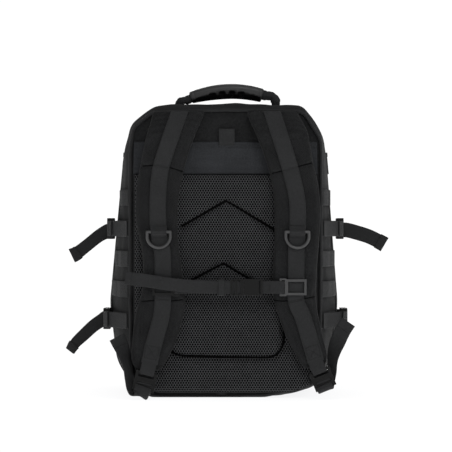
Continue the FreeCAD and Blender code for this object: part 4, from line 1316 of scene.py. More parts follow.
# (y, z) round the bar of the D-ring
D_RING_LOOP = [(-135.6, 262.5), (-137.2, 259.5), (-140.4, 256.6), (-141.9, 254.0),
               (-140.6, 251.0), (-137.6, 249.2), (-135.3, 246.5)]
# (distance up from LOCK_TOP, y from LOCK_Y) down, round the top bar and up behind it
LOCK_LOOP = [(18, -4.4), (8, -6.2), (3.4, -7.0), (-1.6, -6.6), (-3.2, -4.4), (-2.4, -1.6),
             (2.0, -0.9), (9.0, -1.6), (17, -2.6)]
UPPER_BARTACK_Z = {"left": 353.4, "right": 350.4}


def lock_axes(side):
    """Across and up directions of a ladder lock."""
    a = math.radians(LOCKS[side][2])
    return vec(math.cos(a), 0, -math.sin(a)), vec(math.sin(a), 0, math.cos(a))


def lock_point(side, along, dy):
    """Point at a distance up the lock from its centre, dy from its middle plane."""
    x, z, _ = LOCKS[side]
    up = lock_axes(side)[1]
    return (x + up[0] * along, LOCK_Y + dy, z + up[2] * along)


def strap_y(z):
    return wearer_face_y(z) - 3.1


def strap_webbing(side):
    path = spline([(x, float(strap_y(z)), z) for x, z in STRAP_LINES[side]], 190)
    path[:, 1] = strap_y(path[:, 2]) - 0.15 * wobble(path, wave=40, seed=7)
    along = unit(np.gradient(path, axis=0) * vec(1, 0, 1))
    across = np.stack([-along[:, 2], along[:, 1] * 0, along[:, 0]], 1)
    to_seam = segment_distance(path[:, 0], path[:, 2], UPPER_SEAMS[side][:3])
    path[:, 1] += 1.1 * np.exp(-(to_seam / 2.2) ** 2)
    tape = Parts()
    verts, faces, uv = ribbon_geometry(path, across, 25.0, 1.5)
    verts[:, 2] = np.minimum(verts[:, 2], 438.6)
    tape.add(verts, faces, uv)
    tape.ribbon(spline([(D_RING_X[side], y, z) for y, z in D_RING_LOOP], 40), X_AXIS, 23.6, 1.0)
    lock_across, lock_up = lock_axes(side)
    x, _, z = path[-1] + lock_up * 10
    loop = [(x, -134.0, z)] + [lock_point(side, LOCK_TOP + up, dy) for up, dy in LOCK_LOOP]
    tape.ribbon(spline(loop, 60), lock_across, 22.4, 0.9, u_start=300.0)
    tape.make("strap_webbing_tape_" + side, MAT["web"], "strap_" + side,
              replaces=("strap_webbing_" + side,), slot="webbing")

    # stitching: both edges, bartacks, and a crossed box low down
    thread = Parts()
    for sign in (-1, 1):
        edge = path + across * sign * 10.9 - vec(0, 0.82, 0)
        thread.stitches(edge[9:-6], -Y_AXIS, pitch=3.2, dash=2.4, width=0.55, height=0.28)
    for z in (262.5, 150.0, UPPER_BARTACK_Z[side]):
        i = int(np.argmin(np.abs(path[:, 2] - z)))
        for dz in (-0.9, 0.9):
            thread.bar(path[i] + vec(0, -0.85, dz), across[i] * 11.5, -Y_AXIS, 12,
                       pitch=1.6, dash=1.55, width=1.2, height=0.45)
    i = int(np.argmin(np.abs(path[:, 2] - 71.0)))
    centre = path[i] + vec(0, -0.85, 0)
    half_across, half_up = across[i] * 19.5 / 2, along[i] * 19.0 / 2
    box = [centre - half_across - half_up, centre + half_across - half_up,
           centre + half_across + half_up, centre - half_across + half_up]
    for a, b in ((0, 1), (1, 2), (2, 3), (3, 0), (0, 2), (1, 3)):
        thread.stitches(np.linspace(box[a], box[b], 12), -Y_AXIS,
                        pitch=2.6, dash=2.5, width=1.3, height=0.34, lift=0.02)
    thread.make("strap_webbing_stitches_" + side, MAT["thread"], "strap_" + side, slot="webbing")


for side in ("left", "right"):
    strap_webbing(side)


# ---------------------------------------------------------------- loose tails, lower webbing
def strap_path(stations, count):
    """Smooth path and across directions from rows (x, y, z, across x, y, z)."""
    rows = np.array(stations, float)
    points, across = rows[:, :3], unit(rows[:, 3:])
    for i in range(1, len(across)):
        if across[i] @ across[i - 1] < 0:
            across[i] = -across[i]
    path = spline(np.hstack([points, across * 20]), count)
    return path[:, :3], unit(path[:, 3:])


def ripple(path, across, amount, wave, seed):
    """Move a strap gently along its face normal."""
    face = np.cross(unit(np.gradient(path, axis=0)), across)
    return path + face * (amount * wobble(path, wave, seed))[:, None]


def end_fold(tape, thread, path, across, width, thick, fold=14.0):
    """The tip turned over and sewn: a further layer on both faces of the last stretch."""
    s = distances(path)
    i = int(np.searchsorted(s, s[-1] - fold))
    side, face = path_frames(path, across)
    for sign in (1, -1):
        layer = resample(np.hstack([path[i:] + face[i:] * sign * (thick * 0.86), side[i:]]), 12)
        tape.ribbon(layer[:, :3], layer[:, 3:], width + 0.5, thick * 0.9)
    for row in (0.0, 2.2):
        centre = path[i] + (path[-1] - path[i]) * (0.12 + row / fold) + face[i] * (thick * 1.34)
        thread.bar(centre, side[i] * (width / 2 - 1.5), face[i], 8,
                   pitch=2.2, dash=1.8, width=0.6, height=0.3)


# adjuster strap tails: x, y, z, across x, y, z
TAILS = {
    "left": [
        (-124.2, -137.0, 19.5, 0.974, 0, -0.225), (-126.2, -140.0, 14.5, 0.974, 0, -0.225),
        (-127.6, -140.4, 9.5, 0.974, 0, -0.225), (-129.2, -139.6, 6.0, 0.95, 0.08, -0.2),
        (-132.6, -137.0, 5.6, 0.88, 0.45, -0.12), (-138.0, -132.4, 8.4, 0.66, 0.75, 0),
        (-142.8, -128.0, 16.0, 0.55, 0.83, 0), (-146.2, -123.2, 30.0, 0.5, 0.86, 0),
        (-149.6, -117.4, 49.0, 0.5, 0.86, 0.1), (-154.5, -113.5, 66.0, 0.7, 0.7, 0.2),
        (-160.5, -110.5, 81.0, 0.86, 0.3, 0.4), (-166.5, -109.2, 92.8, 0.87, 0.05, 0.48)],
    "right": [
        (149.0, -137.0, 21.5, 0.927, 0, 0.375), (150.6, -139.2, 18.2, 0.927, 0, 0.375),
        (151.8, -139.2, 15.4, 0.927, 0, 0.375), (152.8, -136.8, 13.4, 0.92, -0.05, 0.38),
        (153.8, -132.4, 13.0, 0.9, -0.2, 0.38), (156.4, -127.6, 16.6, 0.76, -0.55, 0.32),
        (160.2, -124.0, 25.0, 0.52, -0.84, 0.16), (162.6, -121.2, 38.0, 0.48, -0.87, 0),
        (163.8, -117.8, 55.0, 0.55, -0.83, 0), (167.2, -113.8, 72.0, 0.78, -0.62, -0.15),
        (173.0, -110.8, 88.0, 0.87, -0.25, -0.4), (180.5, -109.0, 103.5, 0.84, -0.05, -0.5),
        (188.6, -107.2, 115.8, 0.75, 0, -0.66)],
}
# stretch threaded through the lock: (distance up from the lock centre, y from LOCK_Y)
THREADED = [(-15.5, 3.8), (-10.5, 1.2), (-7.0, -0.2), (-5.7, -1.0), (-5.9, -2.6), (-5.4, -3.9),
            (-3.9, -4.3), (-2.3, -3.9), (-1.7, -1.4), (-2.8, -0.5), (-5.0, -0.6)]


def lower_stations(side):
    """From the lower corner of the pack to the lock and up behind it."""
    across = lock_axes(side)[0]

    def at(along, dy):
        return (*lock_point(side, along, dy), *across)

    def level(along, y, z):
        return (lock_point(side, along, 0)[0], y, z, *across)

    if side == "left":
        slope = (0.907, 0, -0.42)
        return [(-128.0, -98.6, 8.2, *slope), (-128.2, -103.5, 7.8, *slope),
                (-127.4, -110.0, 7.6, *slope), level(-19.5, -118.5, 8.4),
                level(-15.5, -123.5, 12.0), at(-8.0, 4.2), at(2.0, 3.2), at(9.0, 3.2)]
    slope = (0.74, 0, 0.67)
    return [(140.5, -98.4, 30.0, *slope), (141.2, -103.0, 30.0, *slope),
            (143.0, -110.0, 28.0, 0.8, 0, 0.6), (145.6, -117.0, 25.6, 0.86, 0, 0.5),
            level(-7.0, -123.4, 25.4), at(0.0, 5.0), at(5.0, 3.8), at(10.0, 3.2)]


def strap_tail(side):
    path, across = strap_path(TAILS[side], 150)
    path = ripple(path, across, amount=0.35, wave=35, seed=17)
    tape, thread = Parts(), Parts()
    tape.ribbon(path, across, 24.6, 1.5)
    end_fold(tape, thread, path, across, 24.0, 1.5)
    tail = tape.make("strap_tail_tape_" + side, MAT["web"], None,
                     replaces=("strap_tail_" + side,), slot="webbing")
    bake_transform(tail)
    thread.make("strap_tail_stitches_" + side, MAT["thread"], "strap_" + side, slot="webbing")


def strap_in_lock(side):
    parts = Parts()
    parts.ribbon(spline([lock_point(side, up, dy) for up, dy in THREADED], 70),
                 lock_axes(side)[0], 23.6, 1.0)
    parts.make("strap_in_lock_" + side, MAT["web"], "adjuster_" + side, slot="webbing")


def lower_webbing(side):
    path, across = strap_path(lower_stations(side), 90)
    verts, faces, uv = ribbon_geometry(path, across, 24.4, 1.2)
    verts[:, 2] = np.maximum(verts[:, 2], 0.4)
    parts = Parts()
    parts.add(verts, faces, uv)
    tape = parts.make("lower_webbing_tape_" + side, MAT["web"], None,
                      replaces=("lower_webbing",), slot="webbing")
    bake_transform(tape)


for side in ("left", "right"):
    strap_tail(side)
    strap_in_lock(side)
    lower_webbing(side)

# ---------------------------------------------------------------- sternum strap
STERNUM_Z = 170.0
# inner layer and its turn at the left end: (x, y, z from STERNUM_Z)
STERNUM_LAYER = [(24.6, -136.6, 0), (10, -136.2, 0), (-10.0, -135.8, 0.2), (-40, -135.6, 0),
                 (-62, -135.5, 0), (-72.0, -134.6, 0), (-76.0, -134.2, 0), (-77.2, -136.0, 0),
                 (-75.8, -139.1, 0), (-71.0, -138.2, 0), (-60, -137.4, 0)]
# loose tail turning back at the buckle: (x, y, z from STERNUM_Z, across x)
STERNUM_TAIL = [(24.6, -136.8, 0, 0), (26.4, -139.6, 0, 0), (24.0, -141.6, 0, 0),
                (14, -142.2, 0, 0), (4, -142.0, 0, 0), (-12, -141.2, 0.1, 0),
                (-34.0, -140.6, 0.8, 0), (-60, -141.4, 2.4, 0.02), (-92.0, -142.0, 6.0, 0.06),
                (-124.0, -141.8, 11.0, 0.1), (-151.5, -141.0, 14.4, 0.1)]
# keeper round the double layer: (y, z from STERNUM_Z)
KEEPER_X = -6.0
KEEPER = [(-135.0, -11.2), (-139.0, -11.6), (-142.6, -10.8), (-143.0, 0), (-142.6, 11.0),
          (-139.0, 11.9), (-135.0, 11.4), (-134.3, 0), (-134.7, -10.8)]
# closed loop on the right: (x, y)
STERNUM_RIGHT = [(60.5, -139.4), (66, -138.6), (78, -138.5), (84.5, -139.3), (88.6, -138.7),
                 (89.6, -136.0), (88.0, -134.2), (82, -135.6), (66, -136.0), (57, -135.2),
                 (53.6, -134.3), (51.0, -135.0), (50.6, -137.6), (52.0, -140.6),
                 (55.5, -141.2), (60.5, -139.7)]


def sternum_left():
    tape, thread = Parts(), Parts()
    layer = spline([(x, y, STERNUM_Z + dz) for x, y, dz in STERNUM_LAYER], 150)
    tape.ribbon(layer, Z_AXIS, 19.8, 1.0)
    path, across = strap_path([(x, y, STERNUM_Z + dz, lean, 0, 1)
                               for x, y, dz, lean in STERNUM_TAIL], 170)
    loose = np.clip((20 - path[:, 0]) / 30, 0, 1)
    path = path + Y_AXIS * (0.25 * wobble(path, wave=42, seed=19) * loose)[:, None]
    tape.ribbon(path, across, 19.8, 1.2)
    end_fold(tape, thread, path, across, 19.4, 1.2, fold=9.0)
    tape.ribbon(spline([(KEEPER_X, y, STERNUM_Z + dz) for y, dz in KEEPER], 60), X_AXIS, 9.0, 0.9)
    strap = tape.make("sternum_strap_tape_left", MAT["web"], None,
                      replaces=("sternum_webbing_left",), slot="webbing")
    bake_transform(strap)
    thread.make("sternum_strap_stitches_left", MAT["thread"], "sternum_left", slot="webbing")


def sternum_right():
    tape, thread = Parts(), Parts()
    tape.ribbon(spline([(x, y, STERNUM_Z) for x, y in STERNUM_RIGHT], 190), Z_AXIS, 19.6, 1.0)
    for x in (66.5, 68.2):
        thread.bar(vec(x, -139.25, STERNUM_Z), Z_AXIS * 8.8, -Y_AXIS, 10,
                   pitch=1.6, dash=1.4, width=0.7, height=0.35)
    tape.make("sternum_strap_tape_right", MAT["web"], "sternum_right",
              replaces=("sternum_webbing_right",), slot="webbing")
    thread.make("sternum_strap_stitches_right", MAT["thread"], "sternum_right", slot="webbing")


sternum_left()
sternum_right()

# ---------------------------------------------------------------- side webbing rows
ROW_WIDTH, ROW_THICK = 25.0, 1.4
SIDE_ROW_Z = (307.0, 259.0, 212.5, 165.5, 117.0)
# compression straps: (z, distance of the buckle from the middle plane)
UPPER_COMPRESSION, LOWER_COMPRESSION = (259.0, 181.0), (117.0, 187.0)
COMPRESSION_Z = (UPPER_COMPRESSION[0], LOWER_COMPRESSION[0])
BARTACK = dict(pitch=1.5, dash=1.35, width=0.9, height=0.45)


def side_rows():
    """Webbing rows on both sides of the rear half, flatter under the compression straps."""
    tape, thread = Parts(), Parts()
    y = np.linspace(-96.5, -16.5, 74)
    bars = np.array([-95.0, -57.0, -19.0])
    for sign in (-1, 1):
        for i, z in enumerate(SIDE_ROW_Z):
            path = np.array([REAR_SURFACE.side(py, z, sign) for py in y])
            bulge = 0.9 if z in COMPRESSION_Z else 1.9
            path[:, 0] += sign * (0.95 + bulge * arches(y, bars, 0.7)
                                  + 0.15 * wobble(path, wave=16, seed=40 + i))
            tape.ribbon(path, Z_AXIS, ROW_WIDTH, ROW_THICK)
            for bar in bars:
                centre = path[int(np.argmin(np.abs(y - bar)))]
                for dy in (-0.8, 0.8):
                    thread.bar(centre + vec(sign * 0.75, dy, 0), Z_AXIS * 11.2, sign * X_AXIS,
                               14, **BARTACK)
    tape.make("side_rows_tape", MAT["web"], "rear_half", replaces=("side_molle",),
              slot="webbing")
    thread.make("side_rows_bartacks", MAT["thread"], "rear_half", slot="webbing")


side_rows()

# vertical stitch lines near the rear edge of both sides
parts = Parts()
for sign in (-1, 1):
    line = np.array([REAR_SURFACE.side(-97.6, z, sign) for z in np.linspace(52, 404, 150)])
    parts.stitches(line + vec(sign * 0.15, 0, 0), sign * X_AXIS,
                   pitch=3.4, dash=2.5, width=0.5, height=0.3)
parts.make("gusset_seam_stitches", MAT["thread"], "rear_half", slot="webbing")

# ---------------------------------------------------------------- compression straps
COMPRESSION_WIDTH = 24.4


def compression_rear():
    """From the rear side seam forward to the female buckle, round its bar and back."""
    tape, thread = Parts(), Parts()
    for sign in (-1, 1):
        for z, buckle_x in (UPPER_COMPRESSION, LOWER_COMPRESSION):
            seam_x = abs(REAR_SURFACE.side(-96.0, z, sign)[0])
            side_x = abs(REAR_SURFACE.side(-84.0, z, sign)[0])
            line = [(seam_x + 3.4, -96.5), (side_x + 4.2, -84),
                    (side_x * 0.45 + buckle_x * 0.55, -66), (buckle_x - 0.8, -48),
                    (buckle_x, -42), (buckle_x + 0.4, -37.0), (buckle_x + 2.6, -33.6),
                    (buckle_x + 4.2, -36.5), (buckle_x + 2.6, -42), (buckle_x + 0.9, -50),
                    (buckle_x - 3, -57)]
            path = spline([(sign * x, y, z) for x, y in line], 110)
            tape.ribbon(path, Z_AXIS, COMPRESSION_WIDTH, 1.3)
            sewn = vec(sign * (buckle_x + 0.9), -50, z)
            nearest = path[int(np.argmin(np.linalg.norm(path - sewn, axis=1)))]
            for dy in (0.0, 2.0, -7.0):
                thread.bar(nearest + vec(sign * 0.75, dy, 0), Z_AXIS * 10.5, sign * X_AXIS, 12,
                           pitch=1.7, dash=1.5, width=0.7, height=0.35)
    tape.make("compression_tape_rear", MAT["web"], "rear_half",
              replaces=("compression_webbing_rear",), slot="webbing")
    thread.make("compression_stitches_rear", MAT["thread"], "rear_half", slot="webbing")


compression_rear()

# Per corner: side, strap, z where the loose tail starts, then the tail's rows
# (x, y, z, across x, y, z), drawn on the right and mirrored for the left.
LOOSE_TAILS = {
    "upper_left": (-1, UPPER_COMPRESSION, 256.0, [
        (193, 41, 253.5, 0.2, 0.35, 0.9), (206, 40, 246, 0.35, 0.5, 0.75),
        (224, 38, 231.5, 0.4, 0.55, 0.72), (240, 36, 219.0, 0.35, 0.5, 0.8),
        (248, 35, 215.0, 0.1, 0.45, 0.9)]),
    "lower_left": (-1, LOWER_COMPRESSION, 115.0, [
        (199, 41, 111.0, 0.25, 0.45, 0.85), (214, 40, 101, 0.4, 0.55, 0.72),
        (229, 38, 87.0, 0.5, 0.6, 0.6), (243, 36, 73.0, 0.5, 0.7, 0.5),
        (251, 35, 61.0, 0.4, 0.8, 0.4)]),
    "upper_right": (1, UPPER_COMPRESSION, 257.0, [
        (196, 41, 256.5, 0.05, 0.2, 0.97), (212, 40, 252.5, 0.15, 0.25, 0.95),
        (232, 38, 246.0, 0.2, 0.3, 0.92), (250, 36, 237.0, 0.25, 0.3, 0.9),
        (257, 35, 233.0, 0.1, 0.25, 0.96)]),
    "lower_right": (1, LOWER_COMPRESSION, 117.0, [
        (188.5, 50, 115.5, 0, 0.15, 1.0), (186, 64, 111, 0, 0.25, 0.97),
        (180.5, 80, 103.0, 0.05, 0.35, 0.93), (174.5, 95, 92.0, 0.1, 0.4, 0.9)]),
}


def compression_front(corner, thread):
    """From the front side seam to the male buckle, round its bar, then the loose tail."""
    sign, (z, buckle_x), tail_z, tail = LOOSE_TAILS[corner]
    edge_x = abs(FRONT_SURFACE.side(44.0, z, sign)[0])
    line = [(edge_x + 1.4, 46.8), (edge_x + 1.9, 42.5), (buckle_x * 0.6 + edge_x * 0.4, 34),
            (buckle_x - 1.4, 22), (buckle_x - 1.2, 12), (buckle_x + 0.4, 6.6),
            (buckle_x + 1.2, 5.2), (buckle_x + 2.6, 9.0), (buckle_x + 2.2, 13.0),
            (buckle_x + 1.6, 22)]
    rows = [(x, y, z, 0, 0, 1) for x, y in line]
    rows.append((buckle_x + 1.0, 33, z + (tail_z - z) * 0.5, 0, 0, 1))
    if corner == "lower_right":                # this tail lies along the door
        rows.append((buckle_x + 1.0, 41.0, tail_z, 0, 0.05, 1))
        fold = 10.0
    else:
        rows.append((buckle_x + 1.2, 39.0, tail_z, 0, 0.05, 1))
        # the sign keeps this lean towards +X on both sides
        rows.append((buckle_x + 5, 42.2, tail_z - 0.6, sign * 0.05, 0.1, 1))
        fold = 13.0
    rows = np.array(rows + tail, float) * vec(sign, 1, 1, sign, 1, 1)
    path, across = strap_path(rows, 230)
    path = ripple(path, across, amount=0.3, wave=38, seed=55)
    tape = Parts()
    tape.ribbon(path, across, COMPRESSION_WIDTH, 1.4)
    end_fold(tape, thread, path, across, 25.0, 1.5, fold)
    strap = tape.make("compression_tape_" + corner, MAT["web_dark"], None,
                      replaces=("compression_webbing_front",), slot="webbing")
    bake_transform(strap)


thread = Parts()
for corner in LOOSE_TAILS:
    compression_front(corner, thread)
thread.make("compression_stitches_front", MAT["thread"], "front_half", slot="webbing")

# ---------------------------------------------------------------- carry handle
HANDLE_Y = -50.0
GRIP_LEFT, GRIP_RIGHT = -54.5, 58.5
GRIP_MID = (GRIP_LEFT + GRIP_RIGHT) / 2
GRIP_REACH = 56.0                              # x distance that scales the grip's curves
FINGER_X = (-21.0, -5.2, 10.5, 25.6)           # four recesses under the grip


def grip_share(x):
    return (x - GRIP_MID) / GRIP_REACH


def grip_z(x):
    u = grip_share(x)
    return 475.0 - 8.0 * u * u + 2.6 * u


def parting_z(u):
    """Arched line between the matt top and the polished lower part."""
    return -0.4 - 6.6 * u * u


def grip_geometry():
    stations, around = 150, 72
    verts = []
    for x in np.linspace(GRIP_LEFT, GRIP_RIGHT, stations):
        u = grip_share(x)
        t = unit(vec(1, 0, (-16.0 * u + 2.6) / GRIP_REACH))
        normal = vec(-t[2], 0, t[0])
        half_height = 10.2 - 2.0 * u * u
        from_end = min(x - GRIP_LEFT, GRIP_RIGHT - x)
        end = 0.80 + 0.20 * quarter_round(from_end / 3.2)
        rib = 0.45 * math.exp(-(from_end - 6.5) ** 2)
        for k in range(around):
            a = 2 * math.pi * k / around
            c, s = math.cos(a), math.sin(a)
            py = signed_power(c, 0.72) * 11.7 * end
            pz = signed_power(s, 0.72) * half_height * end
            if s < 0:
                pz *= 1.30 + (0.30 if u > 0 else -0.10) * u * u
                py *= 1 - 0.30 * s * s
            above = pz - parting_z(u)
            low = 1 / (1 + math.exp(above / 0.35))
            lip = math.exp(-((above + 1.5) / 1.1) ** 2)
            dip = max(math.exp(-((x - fx) / 4.4) ** 4 - ((pz + 7.0) / 4.4) ** 4)
                      for fx in FINGER_X)
            inset = 0.9 * low - 0.5 * lip + rib * (1 - low) + 2.8 * dip
            py -= math.copysign(inset, c) * math.copysign(1, inset) * (
                1 if from_end > 2 else 0.3) * min(1.0, abs(py) / 4.0) if False else (
                math.copysign(inset, c) * (1 if from_end > 2 else 0.3) * min(1.0, abs(py) / 4.0))
            verts.append(vec(x, HANDLE_Y + py, grip_z(x)) + normal * pz)
    return np.array(verts), skin_faces(stations, around, True)


def is_polished(verts, face):
    if len(face) != 4:
        return False
    x, _, z = np.mean([verts[i] for i in face], 0)
    return z - grip_z(x) < parting_z(grip_share(x)) - 0.2 and -50.5 < x < 54.0


def carry_grip():
    verts, faces = grip_geometry()
    grip = make("carry_grip", verts, faces, MAT["grip"], None, replaces=("handle_grip",),
                slot="grip_rubber")
    mark_sharp(grip, 35)
    paint(grip, MAT["grip_low"], [is_polished(verts, f) for f in faces])
    fix_normals(grip)
    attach(grip, "handle")


# rolled stubs from the grip ends to the feet: (x, z) line, half height, seed
HANDLE_STUBS = [
    ([(-48, grip_z(-48)), (-54, 462.6), (-60, 460.2), (-65.5, 459.4), (-70.0, 457.4),
      (-72.6, 452.8), (-73.2, 446.5)], 6.9, 5),
    ([(52, grip_z(52)), (59, 468.2), (65, 467.0), (70.5, 466.6), (75.4, 464.4),
      (78.4, 458.6), (79.2, 449.0)], 7.6, 9),
]


def handle_stubs():
    stations, around = 70, 24
    parts = Parts()
    for line, half_height, seed in HANDLE_STUBS:
        path = spline([(x, HANDLE_Y, z) for x, z in line], stations)
        t = unit(np.gradient(path, axis=0))
        normals = np.stack([-t[:, 2], t[:, 1], t[:, 0]], 1)
        verts, uv = [], []
        for i, (p, normal, s) in enumerate(zip(path, normals, distances(path))):
            u = i / (stations - 1)
            height = (half_height - 0.9 * smooth((u - 0.3) / 0.2)
                      + 0.7 * smooth((u - 0.55) / 0.2) - 1.6 * smooth((u - 0.8) / 0.2))
            width = 8.2 + 0.7 * smooth((u - 0.6) / 0.4)
            wrinkle = 1 + 0.05 * math.sin(u * 24 + seed) + 0.03 * math.sin(u * 51)
            for k in range(around):
                a = 2 * math.pi * k / around
                dy = signed_power(math.cos(a), 0.75) * width
                dz = signed_power(math.sin(a), 0.8) * height * wrinkle
                if abs(a - math.pi * 1.15) < 0.2:      # the overlap of the rolled tape
                    dz *= 0.86
                    dy *= 0.93
                verts.append(p + Y_AXIS * dy + normal * dz)
                uv.append((s, k * 1.6))
        parts.add(verts, skin_faces(stations, around, True), uv)
    stubs = parts.make("handle_tape", MAT["web_dark"], None, replaces=("handle_webbing",),
                       slot="webbing")
    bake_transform(stubs)


def handle_feet():
    """At each end four upright layers on a flat foot on the top panel."""
    top = 461.4
    parts = Parts()
    for sign, x0, x1 in ((-1, -69.4, -76.0), (1, 76.0, 82.6)):
        for x in np.linspace(x0, x1, 4):
            base = REAR_SURFACE.top(x, HANDLE_Y)[2] + 0.6
            layer = [(x, HANDLE_Y, top - 0.6 * abs(x - x0)),
                     (x + sign * 0.35, HANDLE_Y, (top + base) / 2), (x, HANDLE_Y, base)]
            parts.ribbon(spline(layer, 14), Y_AXIS, 18.6, 1.5)
        foot = [(x, HANDLE_Y, REAR_SURFACE.top(x, HANDLE_Y)[2] + 0.9)
                for x in np.linspace(x0 - sign * 3.0, x1 + sign * 0.2, 14)]
        parts.ribbon(spline(foot, 26), Y_AXIS, 18.8, 1.3)
    parts.make("handle_feet_tape", MAT["web_dark"], "rear_half", replaces=("handle_feet",),
               slot="webbing")


carry_grip()
handle_stubs()
handle_feet()

# ---------------------------------------------------------------- pockets on the door
# (x, z) corners, anticlockwise seen from -Y
UPPER_OUTLINE = [(-98, 240), (98, 240), (98, 372), (80, 392), (-80, 392), (-98, 372)]
LOWER_OUTLINE = [(-118, 26), (118, 26), (118, 180), (98, 200), (-98, 200), (-118, 180)]
POCKET_CORNER = 16.0
UPPER_TAPER, LOWER_TAPER = 7.0, 8.0            # how far the face draws in from the wall


def pouch(name, outline, face_y, taper, crown, body, replaces, seed):
    """Pocket cover: wall, rounded edge, face and lining as one closed skin."""
    base_y, thick, swell, edge = 101.1, 2.2, 1.2, 9.0
    ring = round_polygon(outline, POCKET_CORNER, 4.0)
    n = len(ring)
    normals = ring_normals(ring)
    centre = ring.mean(0)
    rows = []
    for u in np.linspace(0, 1, 9):
        p = at_y(ring - normals * 0.3, base_y + (face_y - base_y - edge) * u)
        fade = smooth(u * 3) * smooth(4 * (1.25 - u))
        push(p, normals, swell * math.sin(math.pi * u)
             + 0.7 * wobble(p, wave=40, seed=seed) * fade)
        rows.append(p)
    for degrees in np.linspace(0, 90, 7)[1:]:
        a = math.radians(degrees)
        rows.append(at_y(ring - normals * (taper * (1 - math.cos(a)) + 0.3),
                         face_y - edge + edge * math.sin(a) - crown))
    edge_rows = len(rows)
    face_ring = ring - normals * (taper + 0.3)
    for s in np.linspace(1, 0, 15)[1:-1]:
        p = at_y(centre + (face_ring - centre) * s, face_y - crown * s ** 3)
        p[:, 1] += 0.8 * (wobble(p, wave=55, seed=seed + 2) - 1) * (1 - s ** 4)
        rows.append(p)
    back = []
    for row in reversed(rows[:edge_rows]):
        p = row.copy()
        push(p, normals, -thick)
        p[:, 1] = np.minimum(p[:, 1], face_y - crown - thick)
        back.append(p)
    inner_face = []
    for s in (0.3, 0.65):
        p = back[0].copy()
        p[:, 0] = centre[0] + (p[:, 0] - centre[0]) * s
        p[:, 2] = centre[1] + (p[:, 2] - centre[1]) * s
        inner_face.append(p)

    # outer skin and lining meet at the rim; each closes at its own middle
    rings = rows + inner_face + back
    outer = len(rows)
    faces = []
    for i in range(len(rings)):
        if i != outer - 1:
            faces += join_rings(i, (i + 1) % len(rings), n)
    middle = len(rings) * n
    for k in range(n):
        q = (k + 1) % n
        faces.append(((outer - 1) * n + k, (outer - 1) * n + q, middle))
        faces.append((outer * n + q, outer * n + k, middle + 1))
    verts = np.vstack(rings + [[centre[0], rows[-1][:, 1].mean(), centre[1]],
                               [centre[0], inner_face[0][:, 1].mean(), centre[1]]])
    obj = make(name, verts, faces, MAT["pack"], body, replaces=replaces, slot="pack_fabric")
    paint(obj, MAT["lining"], [min(f) >= outer * n for f in faces])
    return Surface(fix_normals(obj))


UPPER_SURFACE = pouch("upper_pocket_fabric", UPPER_OUTLINE, 131.6, UPPER_TAPER, 1.2,
                      "upper_pocket", ("upper_pocket_cover",), seed=301)
LOWER_SURFACE = pouch("lower_pocket_fabric", LOWER_OUTLINE, 139.4, LOWER_TAPER, 1.6,
                      "lower_pocket", ("lower_pocket_cover",), seed=311)


def pocket_trim(name, outline, surface, taper, replaced):
    """Zip coils, base tape, piping and stitches of one pocket."""
    body = name + "_pocket"
    step = 3.0
    ring = round_polygon(outline, POCKET_CORNER, step)
    normals = ring_normals(ring)
    # the zip is an open run: all but the base and the 15 mm above it
    keep = ring[:, 1] > min(z for _, z in outline) + 15
    start = int(np.argmax(~keep & np.roll(keep, -1))) + 1
    count = int(keep.sum())
    run = np.roll(ring, -start, 0)[:count]
    run_normals = np.roll(normals, -start, 0)[:count]
    parts = Parts()
    parts.coil(at_y(run - run_normals * 1.2, 98.9), 1.0)
    parts.make("pocket_zip_coil_%s_fixed" % name, MAT["zip"], "organizer_door",
               replaces=replaced, slot="zip_tape")
    parts = Parts()
    parts.coil(at_y(run - run_normals * 1.0, 101.6), 0.9)
    parts.make("pocket_zip_coil_%s_cover" % name, MAT["zip"], body, slot="zip_tape")
    parts = Parts()
    parts.band([at_y(ring + normals * offset, y) for offset, y in
                ((1.6, 97.0), (1.6, 98.0), (-0.4, 98.6), (-3.4, 98.4), (-3.4, 97.0))],
               step, 1.0)
    parts.make("pocket_base_tape_" + name, MAT["binding"], "organizer_door", slot="webbing")
    parts = Parts()
    bead = np.array([surface.front(x, z) for x, z in ring - normals * (taper * 0.8)])
    parts.tube(bead, 1.3, 8, closed=True, uv_step=0.4)
    parts.make("pocket_piping_" + name, MAT["binding"], body, slot="webbing")
    parts = Parts()
    line = ring - normals * (taper + 5.0)
    line = np.array([surface.front(x, z) for x, z in np.vstack([line, line[:1]])])
    parts.stitches(line, Y_AXIS, pitch=3.4, dash=2.5, width=0.55, height=0.3)
    parts.make("pocket_stitches_" + name, MAT["thread"], body, slot="webbing")


pocket_trim("upper", UPPER_OUTLINE, UPPER_SURFACE, UPPER_TAPER, ("pocket_zips",))
pocket_trim("lower", LOWER_OUTLINE, LOWER_SURFACE, LOWER_TAPER, ())


def loop_field():
    """Rectangle of loop pile on the upper pocket, stitched round its edge."""
    half, low, top = 70, 268, 352
    cols, rows = 60, 38
    inset = 2.2

    def base_y(x, z):
        return max(UPPER_SURFACE.front(x, z)[1] + 0.2, 131.0)

    near = []
    for z in np.linspace(low, top, rows):
        for x in np.linspace(-half, half, cols):
            edge = min(x + half, half - x, z - low, top - z)
            near.append((x, base_y(x, z) + 1.4 * smooth(min(edge / 1.6, 1)), z))
    near = np.array(near)
    far = near.copy()
    far[:, 1] = np.minimum(far[:, 1] - 1.0, 131.4)
    fix_normals(make("loop_field", np.vstack([near, far]), slab_faces(rows, cols), MAT["loop"],
                     "upper_pocket", replaces=("upper_loop_panel",), slot="loop_pile"))
    x, z0, z1 = half - inset, low + inset, top - inset
    corners = [vec(-x, z0), vec(x, z0), vec(x, z1), vec(-x, z1), vec(-x, z0)]
    thread = Parts()
    for start, end in zip(corners, corners[1:]):
        line = np.array([(x, base_y(x, z) + 1.45, z) for x, z in np.linspace(start, end, 40)])
        thread.stitches(line, Y_AXIS, pitch=3.4, dash=2.5, width=0.6, height=0.35)
    thread.make("loop_field_stitches", MAT["thread"], "upper_pocket", slot="webbing")


